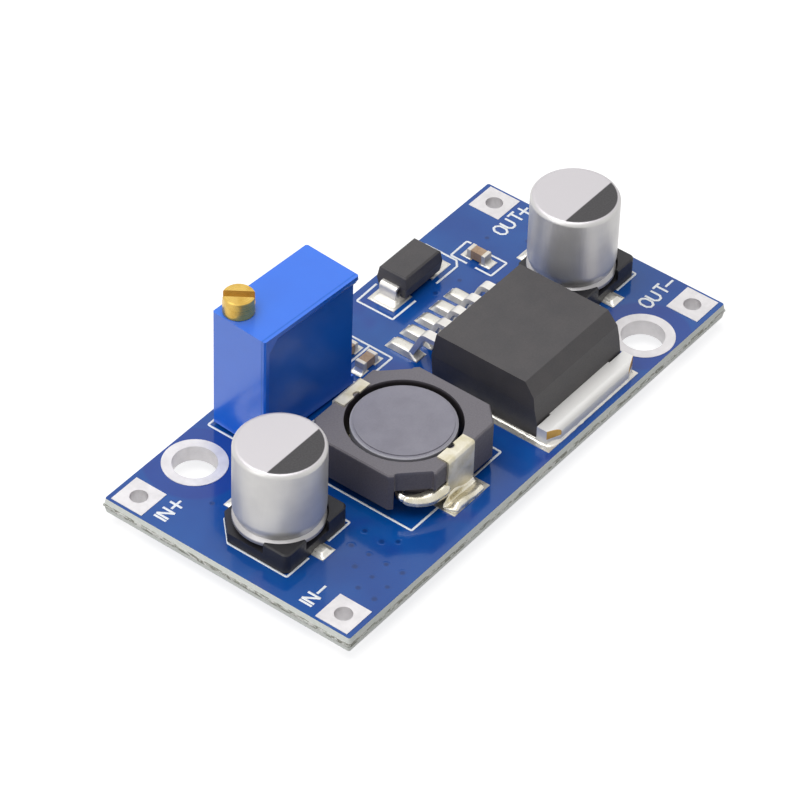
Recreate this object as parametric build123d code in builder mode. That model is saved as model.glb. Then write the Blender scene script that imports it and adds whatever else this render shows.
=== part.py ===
"""Step-up converter board: a 43.4 x 21.3 mm circuit board that carries a screw-adjust trimmer, a shielded
inductor, a five-lead regulator, a moulded diode, two can capacitors and small chip parts.

Millimetres. The origin is midway between the two mounting holes, on the underside of the board.
+X runs from the input end to the output end, +Y towards the positive terminals, +Z up."""

import math
import os

from build123d import *

os.makedirs("parts", exist_ok=True)

# Board and its plated holes
board_length = 43.4
board_width = 21.3
board_thick = 1.2
board_corner = 0.25
score_depth = 0.45
score_slope = 12
plating = 0.06
land_thick = 0.05
mount_inset_x = 6.62
mount_inset_y = 2.59
mount_hole_r = 1.6
mount_ring_r = 2.33
terminal_inset_x = 1.64
terminal_inset_y = 1.81
terminal_hole_r = 0.65
terminal_barrel = 0.17
terminal_square = 2.68

# Trimmer: a block that stands a little turned, because its pins have play in their holes
trimmer_x = -6.63
trimmer_y = 6.97
trimmer_turn = -3.3
trimmer_standoff = 0.27
trimmer_length = 9.53
trimmer_width = 4.83
trimmer_height = 10.03
trimmer_wall = 0.5
trimmer_roof = 1.6
trimmer_edge = 0.12
recess_depth = 0.28
recess_stile = 0.45
recess_lip = 0.32
recess_gusset = 0.9
foot_height = 0.7
plug_bottom = 0.2
plug_top = 1.2
pin_pitch = 2.54
pin_r = 0.25
pin_hole_r = 0.45
pin_reach = 0.9
pin_rise = 1.9
element_thick = 0.6
element_top = 8.3
solder_r = 0.95
solder_tip_r = 0.38

# Adjusting screw, its worm thread and the rotor that it turns
screw_inset = 1.27
screw_head_r = 1.125
screw_head_height = 1.48
screw_head_gap = 0.03
screw_slot_width = 0.6
screw_slot_depth = 0.7
screw_slot_turn = -54.0
screw_edge = 0.08
journal_r = 0.6
journal_gap = 0.05
ring_section_r = 0.14
ring_drop = 0.8
worm_module = 0.2
worm_pitch_r = 0.57
worm_addendum = 0.18
worm_dedendum = 0.21
worm_flank = math.tan(math.radians(20))
mesh_backlash = 0.03
worm_turns = 7
rotor_teeth = 30
rotor_height = 4.85
rotor_thick = 0.7
stud_r = 0.8
stud_gap = 0.05
wiper_thick = 0.1
wiper_width = 1.0
wiper_inner = 1.2
wiper_outer = 2.4

# Shielded inductor
inductor_x = -5.97
inductor_y = -2.86
shield_length = 10.08
shield_width = 9.72
shield_bottom = 0.75
shield_height = 3.1
shield_big_cut = 2.3
shield_small_cut = 1.35
shield_edge = 0.1
shield_bore_r = 4.13
scoop_width = 2.7
scoop_depth = 0.65
scoop_skim = 0.22
scoop_fillet = 0.2
drum_r = 3.72
drum_flange = 0.75
drum_post_r = 1.9
drum_rim = 0.25
drum_rim_drop = 0.07
winding_wire_r = 0.2
ridge_sides = 8
lead_wire_r = 0.31
lead_wire_gap = 0.06
lead_wire_inset = 0.15
lead_wire_exit_z = 1.62
lead_wire_middle_x = -3.1
lead_wire_middle_y = -4.1
lead_wire_middle_z = 1.3
lead_wire_end_x = -1.4
lead_wire_end_y = -4.6
lead_wire_end_z = 1.7
lead_bend_tight = 0.4
lead_bend_wide = 1.0
lead_relief = 2.3
clip_width = 2.9
clip_thick = 0.15
clip_shift = -0.1
clip_tongue = 0.87
clip_bend = 0.3
clip_foot_reach = 0.9
clip_shelf = 2.2
clip_notch_r = 0.32

# Five-lead regulator with its tab
regulator_x = 6.6
body_width = 9.95
body_side_draft = 0.13
body_top = 4.5
body_parting = 2.5
body_back_y = 0.6
body_back_top_y = 0.32
body_slope_y = -7.33
body_nose_y = -8.16
body_nose_z = 3.45
body_front_y = -8.56
tab_thick = 1.27
tab_width = 10.15
tab_neck_width = 6.9
tab_end_y = -10.0
tab_wide_y = -8.68
tab_back_y = -0.9
tab_cut_x = 1.05
tab_cut_y = 0.45
tab_round = 0.45
lead_count = 5
lead_pitch = 1.7
lead_width = 0.8
lead_thick = 0.4
lead_height = 2.4
lead_shoulder_y = 2.3
lead_foot_y = 3.3
lead_tip_y = 5.0
lead_bury = 0.9

# Moulded diode
diode_x = 9.2
diode_y = 8.3
diode_length = 4.3
diode_width = 2.6
diode_top = 2.2
diode_parting = 1.2
diode_gap = 0.12
diode_draft = 8
diode_edge = 0.12
diode_lead_width = 1.45
diode_lead_thick = 0.2
diode_lead_reach = 0.35
diode_lead_foot = 1.2

# Can capacitors
capacitor_y = -0.38
input_capacitor_inset = 5.35
output_capacitor_inset = 4.85
can_r = 3.23
can_top = 7.7
can_edge = 0.35
can_shoulder_z = 2.25
can_shoulder_r = 1.4
can_neck_depth = 0.3
can_neck_z = 1.62
can_lip_z = 1.42
can_crimp_r = 0.08
can_foot_inset = 0.35
base_side = 6.6
base_slab = 0.8
base_post = 1.65
base_post_length = 2.1
base_post_width = 2.05
base_chamfer = 1.5
base_round = 0.45
base_edge = 0.1
base_can_gap = 0.1
cap_terminal_width = 0.7
cap_terminal_thick = 0.15
cap_terminal_reach = 0.65
cap_terminal_inner = 0.9

# Chip parts, 1.6 x 0.8 mm
chip_length = 1.6
chip_width = 0.8
chip_height = 0.8
chip_cap = 0.32
chip_skin = 0.04
chip_edge = 0.03
chips = {
    "output_chip": (14.35, 5.94, 90),
    "divider_chip": (0.2, 5.15, 0),
    "filter_chip": (0.2, 6.93, 0),
}

# Solderable lands on the board's top, as (x, y, size in x, size in y)
regulator_land = (6.35, -5.55, 10.6, 9.1)
lead_land = (1.15, 2.85)
lead_land_y = 4.0
diode_land = (2.2, 2.35)
diode_land_span = 4.55
capacitor_land = (1.4, 2.4)
capacitor_land_span = 6.2
inductor_land = (4.0, 2.4)
inductor_land_span = 9.7
chip_land = (0.95, 1.0)
chip_land_span = 1.65

seat_z = board_thick + land_thick
fine = 0.02
mount_span_x = board_length - 2 * mount_inset_x
mount_span_y = board_width - 2 * mount_inset_y
terminal_span_x = board_length - 2 * terminal_inset_x
terminal_span_y = board_width - 2 * terminal_inset_y
input_capacitor_x = input_capacitor_inset - board_length / 2
output_capacitor_x = board_length / 2 - output_capacitor_inset


# Plated mounting holes: each is one copper sleeve with a ring on both faces
with BuildPart() as mounting_rings:
    mount_centres = [
        (-mount_span_x / 2, mount_span_y / 2),
        (mount_span_x / 2, -mount_span_y / 2),
    ]
    with BuildSketch(Plane.XY.offset(-land_thick)):
        with Locations(*mount_centres):
            Circle(mount_ring_r)
            Circle(mount_hole_r, mode=Mode.SUBTRACT)
    extrude(amount=land_thick)
    with BuildSketch(Plane.XY.offset(board_thick)):
        with Locations(*mount_centres):
            Circle(mount_ring_r)
            Circle(mount_hole_r, mode=Mode.SUBTRACT)
    extrude(amount=land_thick)
    with BuildSketch(Plane.XY.offset(-land_thick)):
        with Locations(*mount_centres):
            Circle(mount_hole_r + plating)
            Circle(mount_hole_r, mode=Mode.SUBTRACT)
    extrude(amount=board_thick + 2 * land_thick)

# Four wire terminals: a square land on both faces and the plated wall between them
with BuildPart() as terminal_eyelets:
    for level in (-land_thick, board_thick):
        with BuildSketch(Plane.XY.offset(level)):
            with GridLocations(terminal_span_x, terminal_span_y, 2, 2):
                Rectangle(terminal_square, terminal_square)
                Circle(terminal_hole_r, mode=Mode.SUBTRACT)
        extrude(amount=land_thick)
    with BuildSketch(Plane.XY.offset(-land_thick)):
        with GridLocations(terminal_span_x, terminal_span_y, 2, 2):
            Circle(terminal_hole_r + terminal_barrel)
            Circle(terminal_hole_r, mode=Mode.SUBTRACT)
    extrude(amount=board_thick + 2 * land_thick)

mounting_rings.part.label = "mounting_rings"
export_step(mounting_rings.part, "parts/mounting_rings.step")
terminal_eyelets.part.label = "terminal_eyelets"
export_step(terminal_eyelets.part, "parts/terminal_eyelets.step")

# The trimmer's own frame: its bottom face's centre, turned about Z
trimmer_plane = Plane(origin=(trimmer_x, trimmer_y, board_thick + trimmer_standoff)).rotated(
    (0, 0, trimmer_turn)
)
cavity_left = -trimmer_length / 2 + trimmer_wall
cavity_right = trimmer_length / 2 - recess_depth - trimmer_wall
cavity_front = -trimmer_width / 2 + recess_depth + trimmer_wall
cavity_back = trimmer_width / 2 - trimmer_wall
cavity_x = (cavity_left + cavity_right) / 2
cavity_y = (cavity_front + cavity_back) / 2
cavity_top = trimmer_height - trimmer_roof
screw_x = -trimmer_length / 2 + screw_inset
screw_y = trimmer_width / 2 - screw_inset
pin_y = cavity_front + element_thick + pin_r
pin_offsets = [(-pin_pitch, pin_y), (0, pin_y), (pin_pitch, pin_y)]

# Holes in the board for the trimmer's pins lie square to the board, unlike the trimmer
pin_row_y = trimmer_y + pin_y * math.cos(math.radians(trimmer_turn))
pin_row_x = trimmer_x - pin_y * math.sin(math.radians(trimmer_turn))
pin_hole_centres = [(pin_row_x + step * pin_pitch, pin_row_y) for step in (-1, 0, 1)]

# The board was snapped from a panel along V grooves, so its rim slopes in towards both faces
with BuildPart() as board:
    for level, rise in ((score_depth, -score_depth), (board_thick - score_depth, score_depth)):
        with BuildSketch(Plane.XY.offset(level)):
            RectangleRounded(board_length, board_width, board_corner)
        extrude(amount=rise, taper=score_slope)
    with BuildSketch(Plane.XY.offset(score_depth)):
        RectangleRounded(board_length, board_width, board_corner)
    extrude(amount=board_thick - 2 * score_depth)
    with BuildSketch():
        with Locations(*mount_centres):
            Circle(mount_hole_r + plating)
        with GridLocations(terminal_span_x, terminal_span_y, 2, 2):
            Circle(terminal_hole_r + terminal_barrel)
        with Locations(*pin_hole_centres):
            Circle(pin_hole_r)
    extrude(amount=board_thick, mode=Mode.SUBTRACT)
board.part.label = "board"
export_step(board.part, "parts/board.step")

# Tinned lands for everything that is soldered to the top face
with BuildPart() as solder_lands:
    with BuildSketch(Plane.XY.offset(board_thick)):
        with Locations(regulator_land[:2]):
            Rectangle(*regulator_land[2:])
        with Locations((regulator_x, lead_land_y)):
            with GridLocations(lead_pitch, 1, lead_count, 1):
                Rectangle(*lead_land)
        with Locations((diode_x, diode_y)):
            with GridLocations(diode_land_span, 1, 2, 1):
                Rectangle(*diode_land)
        for capacitor_x in (input_capacitor_x, output_capacitor_x):
            with Locations((capacitor_x, capacitor_y)):
                with GridLocations(1, capacitor_land_span, 1, 2):
                    Rectangle(*capacitor_land)
        with Locations((inductor_x + clip_shift, inductor_y)):
            with GridLocations(1, inductor_land_span, 1, 2):
                Rectangle(*inductor_land)
        for chip_x, chip_y, chip_turn in chips.values():
            with Locations(Location((chip_x, chip_y, 0), (0, 0, chip_turn))):
                with GridLocations(chip_land_span, 1, 2, 1):
                    Rectangle(*chip_land)
    extrude(amount=land_thick)
solder_lands.part.label = "solder_lands"
export_step(solder_lands.part, "parts/solder_lands.step")

# Trimmer housing: a moulded box, open below, with a stud inside for the rotor. Its front and right
# faces are set back under a lip, with a gusset in the corner, and a foot is left at the bottom of the
# right face.
rotor_pitch_r = rotor_teeth * worm_module / 2
rotor_x = screw_x + worm_pitch_r + rotor_pitch_r
rotor_face = screw_y - rotor_thick / 2
stud_end = rotor_face - stud_gap
recess_left = recess_stile - trimmer_length / 2
front_plane = Plane(
    origin=trimmer_plane.from_local_coords((0, -trimmer_width / 2, 0)),
    x_dir=trimmer_plane.x_dir,
    z_dir=-trimmer_plane.y_dir,
)
stud_plane = Plane(
    origin=trimmer_plane.from_local_coords((rotor_x, cavity_back, rotor_height)),
    x_dir=trimmer_plane.x_dir,
    z_dir=-trimmer_plane.y_dir,
)
with BuildPart() as trimmer_housing:
    with BuildSketch(trimmer_plane):
        Rectangle(trimmer_length, trimmer_width)
    extrude(amount=trimmer_height)
    chamfer(trimmer_housing.edges().filter_by(Axis.Z), trimmer_edge)
    with BuildSketch(trimmer_plane):
        with Locations((recess_stile, -trimmer_width / 2)):
            Rectangle(trimmer_length, 2 * recess_depth)
    extrude(amount=trimmer_height - recess_lip, mode=Mode.SUBTRACT)
    with BuildSketch(front_plane):
        with BuildLine():
            Polyline(
                (recess_left, trimmer_height - recess_lip),
                (recess_left + recess_gusset, trimmer_height - recess_lip),
                (recess_left, trimmer_height - recess_lip - recess_gusset),
                close=True,
            )
        make_face()
    extrude(amount=-recess_depth)
    with BuildSketch(trimmer_plane.offset(foot_height)):
        with Locations((trimmer_length / 2, 0)):
            Rectangle(2 * recess_depth, trimmer_width)
    extrude(amount=trimmer_height - recess_lip - foot_height, mode=Mode.SUBTRACT)
    with BuildSketch(trimmer_plane):
        with Locations((cavity_x, cavity_y)):
            Rectangle(cavity_right - cavity_left, cavity_back - cavity_front)
    extrude(amount=cavity_top, mode=Mode.SUBTRACT)
    with BuildSketch(trimmer_plane.offset(cavity_top)):
        with Locations((screw_x, screw_y)):
            Circle(journal_r + journal_gap)
    extrude(amount=trimmer_roof, mode=Mode.SUBTRACT)
    with BuildSketch(stud_plane):
        Circle(stud_r)
    extrude(amount=cavity_back - stud_end)
trimmer_housing.part.label = "trimmer_housing"
export_step(trimmer_housing.part, "parts/trimmer_housing.step")

# Adjusting screw, turned from brass: slotted head, sealed journal, worm thread and lower journal
worm_root_r = worm_pitch_r - worm_dedendum
worm_crest_r = worm_pitch_r + worm_addendum
worm_pitch = math.pi * worm_module
worm_start = rotor_height + worm_pitch / 2 - math.ceil(worm_turns / 2) * worm_pitch
screw_plane = Plane(
    origin=trimmer_plane.from_local_coords((screw_x, screw_y, 0)), x_dir=trimmer_plane.x_dir
)
thread_half = worm_pitch / 4 - mesh_backlash
head_base = trimmer_height + screw_head_gap
ring_z = trimmer_height - ring_drop
groove_r = journal_r + journal_gap - 2 * ring_section_r - fine
lower_journal_end = (plug_bottom + plug_top) / 2
with BuildPart() as trimmer_screw:
    with BuildSketch(screw_plane.offset(head_base)):
        Circle(screw_head_r)
    extrude(amount=screw_head_height)
    chamfer(trimmer_screw.edges().group_by(Axis.Z)[-1], screw_edge)
    slot_plane = screw_plane.offset(head_base + screw_head_height - screw_slot_depth)
    with BuildSketch(slot_plane.rotated((0, 0, screw_slot_turn - trimmer_turn))):
        Rectangle(3 * screw_head_r, screw_slot_width)
    extrude(amount=screw_slot_depth, mode=Mode.SUBTRACT)
    with BuildSketch(screw_plane.offset(cavity_top)):
        Circle(journal_r)
    extrude(amount=head_base - cavity_top)
    with BuildSketch(screw_plane.offset(ring_z - ring_section_r - fine)):
        Circle(journal_r)
        Circle(groove_r, mode=Mode.SUBTRACT)
    extrude(amount=2 * (ring_section_r + fine), mode=Mode.SUBTRACT)
    with BuildSketch(screw_plane.offset(lower_journal_end)):
        Circle(worm_root_r)
    extrude(amount=cavity_top - lower_journal_end)
    with BuildLine(screw_plane.offset(worm_start)):
        Helix(pitch=worm_pitch, height=worm_turns * worm_pitch, radius=worm_pitch_r)
    thread_plane = Plane(
        origin=screw_plane.from_local_coords((0, 0, worm_start)),
        x_dir=screw_plane.x_dir,
        z_dir=-screw_plane.y_dir,
    )
    with BuildSketch(thread_plane):
        with BuildLine():
            Polyline(
                (worm_root_r - fine, -thread_half - (worm_dedendum + fine) * worm_flank),
                (worm_crest_r, -thread_half + worm_addendum * worm_flank),
                (worm_crest_r, thread_half - worm_addendum * worm_flank),
                (worm_root_r - fine, thread_half + (worm_dedendum + fine) * worm_flank),
                close=True,
            )
        make_face()
    sweep(is_frenet=True)
trimmer_screw.part.label = "trimmer_screw"
export_step(trimmer_screw.part, "parts/trimmer_screw.step")

# Rubber ring in the screw's groove
with BuildPart() as trimmer_seal:
    ring_plane = Plane(
        origin=screw_plane.from_local_coords((0, 0, ring_z)),
        x_dir=screw_plane.x_dir,
        z_dir=-screw_plane.y_dir,
    )
    ring_centre_r = journal_r + journal_gap - ring_section_r - fine / 2
    with BuildSketch(ring_plane):
        with Locations((ring_centre_r, 0)):
            RegularPolygon(ring_section_r, ridge_sides)
    revolve(axis=Axis(screw_plane.from_local_coords((0, 0, ring_z)), (0, 0, 1)))
trimmer_seal.part.label = "trimmer_seal"
export_step(trimmer_seal.part, "parts/trimmer_seal.step")

# Toothed rotor on the housing's stud, in mesh with the worm
rotor_root_r = rotor_pitch_r - worm_dedendum
rotor_tip_r = rotor_pitch_r + worm_addendum
tooth_tip_half = thread_half - worm_addendum * worm_flank
tooth_root_half = thread_half + worm_dedendum * worm_flank
rotor_plane = Plane(
    origin=trimmer_plane.from_local_coords(
        (rotor_x, screw_y + rotor_thick / 2, rotor_height)
    ),
    x_dir=trimmer_plane.x_dir,
    z_dir=-trimmer_plane.y_dir,
)
with BuildSketch() as rotor_tooth:
    with BuildLine():
        Polyline(
            (rotor_root_r - tooth_root_half, -tooth_root_half),
            (rotor_root_r, -tooth_root_half),
            (rotor_tip_r, -tooth_tip_half),
            (rotor_tip_r, tooth_tip_half),
            (rotor_root_r, tooth_root_half),
            (rotor_root_r - tooth_root_half, tooth_root_half),
            close=True,
        )
    make_face()
with BuildPart() as trimmer_rotor:
    with BuildSketch(rotor_plane):
        Circle(rotor_root_r)
        with PolarLocations(0, rotor_teeth):
            add(rotor_tooth.sketch)
        Circle(stud_r + stud_gap, mode=Mode.SUBTRACT)
    extrude(amount=rotor_thick)
trimmer_rotor.part.label = "trimmer_rotor"
export_step(trimmer_rotor.part, "parts/trimmer_rotor.step")

# Spring wiper: a bent strip, flat on the rotor's face, that reaches back to the resistive track
wiper_plane = Plane(
    origin=trimmer_plane.from_local_coords((rotor_x, 0, rotor_height - wiper_width / 2)),
    x_dir=trimmer_plane.x_dir,
)
element_face = cavity_front + element_thick
with BuildPart() as trimmer_wiper:
    with BuildSketch(wiper_plane):
        with BuildLine():
            FilletPolyline(
                (wiper_inner, rotor_face - wiper_thick / 2),
                (wiper_outer, rotor_face - wiper_thick / 2),
                (wiper_inner, element_face + wiper_thick),
                (wiper_outer - wiper_thick, element_face + 3 * wiper_thick),
                radius=wiper_thick,
            )
        trace(line_width=wiper_thick)
    extrude(amount=wiper_width)
trimmer_wiper.part.label = "trimmer_wiper"
export_step(trimmer_wiper.part, "parts/trimmer_wiper.step")

# Ceramic plate with the resistive track, against the front wall
with BuildPart() as trimmer_element:
    with BuildSketch(trimmer_plane.offset(plug_top)):
        with Locations((cavity_x, cavity_front + element_thick / 2)):
            Rectangle(cavity_right - cavity_left, element_thick)
    extrude(amount=element_top - plug_top)
trimmer_element.part.label = "trimmer_element"
export_step(trimmer_element.part, "parts/trimmer_element.step")

# Three round pins: they stand against the plate's face and pass through the board
pin_tip = -trimmer_standoff - board_thick - pin_reach
with BuildPart() as trimmer_pins:
    with BuildSketch(trimmer_plane.offset(pin_tip)):
        with Locations(*pin_offsets):
            Circle(pin_r)
    extrude(amount=pin_rise - pin_tip)
trimmer_pins.part.label = "trimmer_pins"
export_step(trimmer_pins.part, "parts/trimmer_pins.step")

# Bottom plug: closes the housing, grips the pins and holds the screw's lower journal
with BuildPart() as trimmer_plug:
    with BuildSketch(trimmer_plane.offset(plug_bottom)):
        with Locations((cavity_x, cavity_y)):
            Rectangle(cavity_right - cavity_left, cavity_back - cavity_front)
        with Locations(*pin_offsets):
            Circle(pin_r, mode=Mode.SUBTRACT)
    extrude(amount=plug_top - plug_bottom)
    with BuildSketch(trimmer_plane.offset(lower_journal_end - journal_gap)):
        with Locations((screw_x, screw_y)):
            Circle(worm_root_r + journal_gap)
    extrude(amount=plug_top - lower_journal_end + journal_gap, mode=Mode.SUBTRACT)
trimmer_plug.part.label = "trimmer_plug"
export_step(trimmer_plug.part, "parts/trimmer_plug.step")

# Solder that fills the three pin holes and stands as a cone round each pin under the board
with BuildPart() as trimmer_solder:
    with BuildSketch():
        with Locations(*pin_hole_centres):
            Circle(pin_hole_r)
    extrude(amount=board_thick)
    for centre_x, centre_y in pin_hole_centres:
        with BuildSketch(Plane(origin=(centre_x, centre_y, 0))):
            Circle(solder_r)
        with BuildSketch(Plane(origin=(centre_x, centre_y, -pin_reach + pin_r))):
            Circle(solder_tip_r)
        loft()
    add(trimmer_pins.part, mode=Mode.SUBTRACT)
trimmer_solder.part.label = "trimmer_solder"
export_step(trimmer_solder.part, "parts/trimmer_solder.step")

# Inductor: ferrite shield, an octagon with two large and two small corner cuts
inductor_plane = Plane(origin=(inductor_x, inductor_y, board_thick))
shield_x = shield_length / 2
shield_y = shield_width / 2
shield_top = shield_bottom + shield_height
scoop_distance = (shield_x + shield_y - shield_big_cut) / math.sqrt(2)
scoop_plane = inductor_plane.rotated((0, 0, 225))
wire_exit_x = scoop_distance - lead_wire_inset
wire_exit_y = scoop_width / 2 - lead_wire_r - lead_wire_gap
wire_angle = math.degrees(math.atan2(wire_exit_y, wire_exit_x))
wire_slot_middle = (drum_r + scoop_distance) / 2 * math.cos(math.radians(wire_angle))
wire_slot_side = (drum_r + scoop_distance) / 2 * math.sin(math.radians(wire_angle))
wire_slot_top = lead_wire_exit_z + 2 * lead_wire_r
with BuildPart() as inductor_shield:
    with BuildSketch(inductor_plane.offset(shield_bottom)):
        Rectangle(shield_length, shield_width)
        vertices_by_diagonal = vertices().sort_by(Axis((0, 0, 0), (1, 1, 0)))
        chamfer((vertices_by_diagonal[0], vertices_by_diagonal[-1]), shield_big_cut)
        small_corners = vertices().sort_by(Axis((0, 0, 0), (1, -1, 0)))
        chamfer((small_corners[0], small_corners[-1]), shield_small_cut)
    extrude(amount=shield_height)
    chamfer(inductor_shield.edges().group_by(Axis.Z)[-1], shield_edge)
    with BuildSketch(inductor_plane.offset(shield_bottom)):
        Circle(shield_bore_r)
    extrude(amount=shield_height, mode=Mode.SUBTRACT)
    for turn in (0, 180):
        corner_plane = scoop_plane.rotated((0, 0, turn)).offset(shield_bottom)
        with BuildSketch(corner_plane):
            with Locations((scoop_distance, 0)):
                RectangleRounded(2 * scoop_depth, scoop_width, scoop_fillet)
        extrude(amount=wire_slot_top - shield_bottom, mode=Mode.SUBTRACT)
        with BuildSketch(corner_plane):
            with Locations((scoop_distance, 0)):
                RectangleRounded(2 * scoop_skim, scoop_width, scoop_fillet)
        extrude(amount=shield_height, mode=Mode.SUBTRACT)
        with BuildSketch(corner_plane):
            with Locations(Location((wire_slot_middle, -wire_slot_side, 0), (0, 0, -wire_angle))):
                Rectangle(scoop_distance - drum_r, 2 * (lead_wire_r + lead_wire_gap))
        extrude(amount=wire_slot_top - shield_bottom, mode=Mode.SUBTRACT)
        with BuildSketch(inductor_plane.rotated((0, 0, turn)).offset(shield_bottom)):
            with Locations((-lead_relief, -shield_y)):
                Rectangle(lead_relief, 2 * (lead_wire_inset + 2 * lead_wire_r))
        extrude(amount=wire_slot_top - shield_bottom, mode=Mode.SUBTRACT)
inductor_shield.part.label = "inductor_shield"
export_step(inductor_shield.part, "parts/inductor_shield.step")

# Ferrite drum: two round flanges on a post, the top one with a stepped rim
window_bottom = shield_bottom + drum_flange
window_top = shield_top - drum_flange
with BuildPart() as inductor_drum:
    with BuildSketch(Plane(origin=inductor_plane.origin, x_dir=(1, 0, 0), z_dir=(0, -1, 0))):
        with BuildLine():
            Polyline(
                (0, shield_bottom),
                (drum_r, shield_bottom),
                (drum_r, window_bottom),
                (drum_post_r, window_bottom),
                (drum_post_r, window_top),
                (drum_r, window_top),
                (drum_r, shield_top - drum_rim_drop - shield_edge),
                (drum_r - shield_edge, shield_top - drum_rim_drop),
                (drum_r - drum_rim, shield_top - drum_rim_drop),
                (drum_r - drum_rim, shield_top),
                (0, shield_top),
                close=True,
            )
        make_face()
    revolve(axis=Axis(inductor_plane.origin, (0, 0, 1)))
inductor_drum.part.label = "inductor_drum"
export_step(inductor_drum.part, "parts/inductor_drum.step")

# Copper winding in the drum's window, its outer layer of turns showing as ridges. Its two ends come
# out through the shield's scooped corners and run along the ferrite to the clips.
winding_rows = int((window_top - window_bottom) / (2 * winding_wire_r))
winding_r = drum_r - drum_rim - winding_wire_r
with BuildPart() as inductor_winding:
    with BuildSketch(Plane(origin=inductor_plane.origin, x_dir=(1, 0, 0), z_dir=(0, -1, 0))):
        window_middle = (window_bottom + window_top) / 2
        with Locations(((drum_post_r + winding_r) / 2, window_middle)):
            Rectangle(winding_r - drum_post_r, 2 * winding_wire_r * winding_rows)
        with Locations((winding_r, window_middle)):
            with GridLocations(1, 2 * winding_wire_r, 1, winding_rows):
                RegularPolygon(winding_wire_r, ridge_sides)
    revolve(axis=Axis(inductor_plane.origin, (0, 0, 1)))
    for turn in (0, 180):
        corner_plane = scoop_plane.rotated((0, 0, turn))
        clip_plane = inductor_plane.rotated((0, 0, turn))
        wire_start = corner_plane.from_local_coords(
            (
                winding_r * math.cos(math.radians(wire_angle)),
                -winding_r * math.sin(math.radians(wire_angle)),
                window_bottom + lead_wire_r + 2 * lead_wire_gap,
            )
        )
        wire_corner = corner_plane.from_local_coords((wire_exit_x, -wire_exit_y, lead_wire_exit_z))
        wire_middle = clip_plane.from_local_coords(
            (lead_wire_middle_x, lead_wire_middle_y, lead_wire_middle_z)
        )
        wire_end = clip_plane.from_local_coords((lead_wire_end_x, lead_wire_end_y, lead_wire_end_z))
        with BuildLine() as wire_route:
            FilletPolyline(
                wire_start,
                wire_corner,
                wire_middle,
                wire_end,
                radius=[lead_bend_tight, lead_bend_wide],
            )
        with BuildSketch(Plane(origin=wire_start, z_dir=wire_corner - wire_start)):
            Circle(lead_wire_r)
        sweep(path=wire_route.line)
inductor_winding.part.label = "inductor_winding"
export_step(inductor_winding.part, "parts/inductor_winding.step")

# Terminal clips: a strip folded over the shield, down its side and out to a foot on the land, with a
# shelf under the ferrite. The tongue's end has a round notch.
tongue_z = shield_top + clip_thick / 2
shelf_z = shield_bottom - clip_thick / 2
clip_foot_z = land_thick + clip_thick / 2
for side, outward in (("front", -1), ("rear", 1)):
    face_y = outward * shield_y
    wall_y = face_y + outward * clip_thick / 2
    foot_y = face_y + outward * clip_foot_reach
    with BuildPart() as inductor_clip:
        clip_origin = (inductor_x + clip_shift, inductor_y, board_thick)
        with BuildSketch(Plane(origin=clip_origin, x_dir=(0, 1, 0), z_dir=(1, 0, 0))):
            with BuildLine():
                FilletPolyline(
                    (face_y - outward * clip_tongue, tongue_z),
                    (wall_y, tongue_z),
                    (wall_y, clip_foot_z),
                    (foot_y, clip_foot_z),
                    radius=[clip_thick, clip_bend],
                )
            trace(line_width=clip_thick)
            with BuildLine():
                Line((wall_y, shelf_z), (face_y - outward * clip_shelf, shelf_z))
            trace(line_width=clip_thick)
        extrude(amount=clip_width / 2, both=True)
        with BuildSketch(inductor_plane.offset(shield_top)):
            with Locations((clip_shift, outward * (shield_y - clip_tongue))):
                Circle(clip_notch_r)
        extrude(amount=clip_thick * 2, mode=Mode.SUBTRACT)
    inductor_clip.part.label = f"inductor_{side}_clip"
    export_step(inductor_clip.part, f"parts/inductor_{side}_clip.step")

# Regulator tab: a thick slug under the body that comes out in front as a wider plate, with a rounded
# front edge and sheared corners
with BuildPart() as regulator_tab:
    with BuildSketch(Plane.XY.offset(seat_z)):
        with Locations((regulator_x, (tab_end_y + tab_wide_y) / 2)):
            Rectangle(tab_width, tab_wide_y - tab_end_y)
        with Locations((regulator_x, (tab_back_y + tab_wide_y) / 2)):
            Rectangle(tab_neck_width, tab_back_y - tab_wide_y)
    extrude(amount=tab_thick)
    fillet(regulator_tab.edges().group_by(Axis.Z)[-1].sort_by(Axis.Y)[0], tab_round)
    for hand in (-1, 1):
        corner_x = regulator_x + hand * tab_width / 2
        with BuildSketch(Plane.XY.offset(seat_z)):
            with BuildLine():
                Polyline(
                    (corner_x, tab_end_y),
                    (corner_x - hand * tab_cut_x, tab_end_y),
                    (corner_x, tab_end_y + tab_cut_y),
                    close=True,
                )
            make_face()
        extrude(amount=tab_thick, mode=Mode.SUBTRACT)
regulator_tab.part.label = "regulator_tab"
export_step(regulator_tab.part, "parts/regulator_tab.step")

# Five gull-wing leads, each buried a little in the body
with BuildPart() as regulator_leads:
    for number in range(lead_count):
        lead_x = regulator_x + (number - (lead_count - 1) / 2) * lead_pitch
        with BuildSketch(
            Plane(origin=(lead_x, 0, seat_z), x_dir=(0, 1, 0), z_dir=(1, 0, 0))
        ):
            with BuildLine():
                FilletPolyline(
                    (body_back_y - lead_bury, lead_height),
                    (lead_shoulder_y, lead_height),
                    (lead_foot_y, lead_thick / 2),
                    (lead_tip_y, lead_thick / 2),
                    radius=lead_thick,
                )
            trace(line_width=lead_thick)
        extrude(amount=lead_width / 2, both=True)
regulator_leads.part.label = "regulator_leads"
export_step(regulator_leads.part, "parts/regulator_leads.step")

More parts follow.
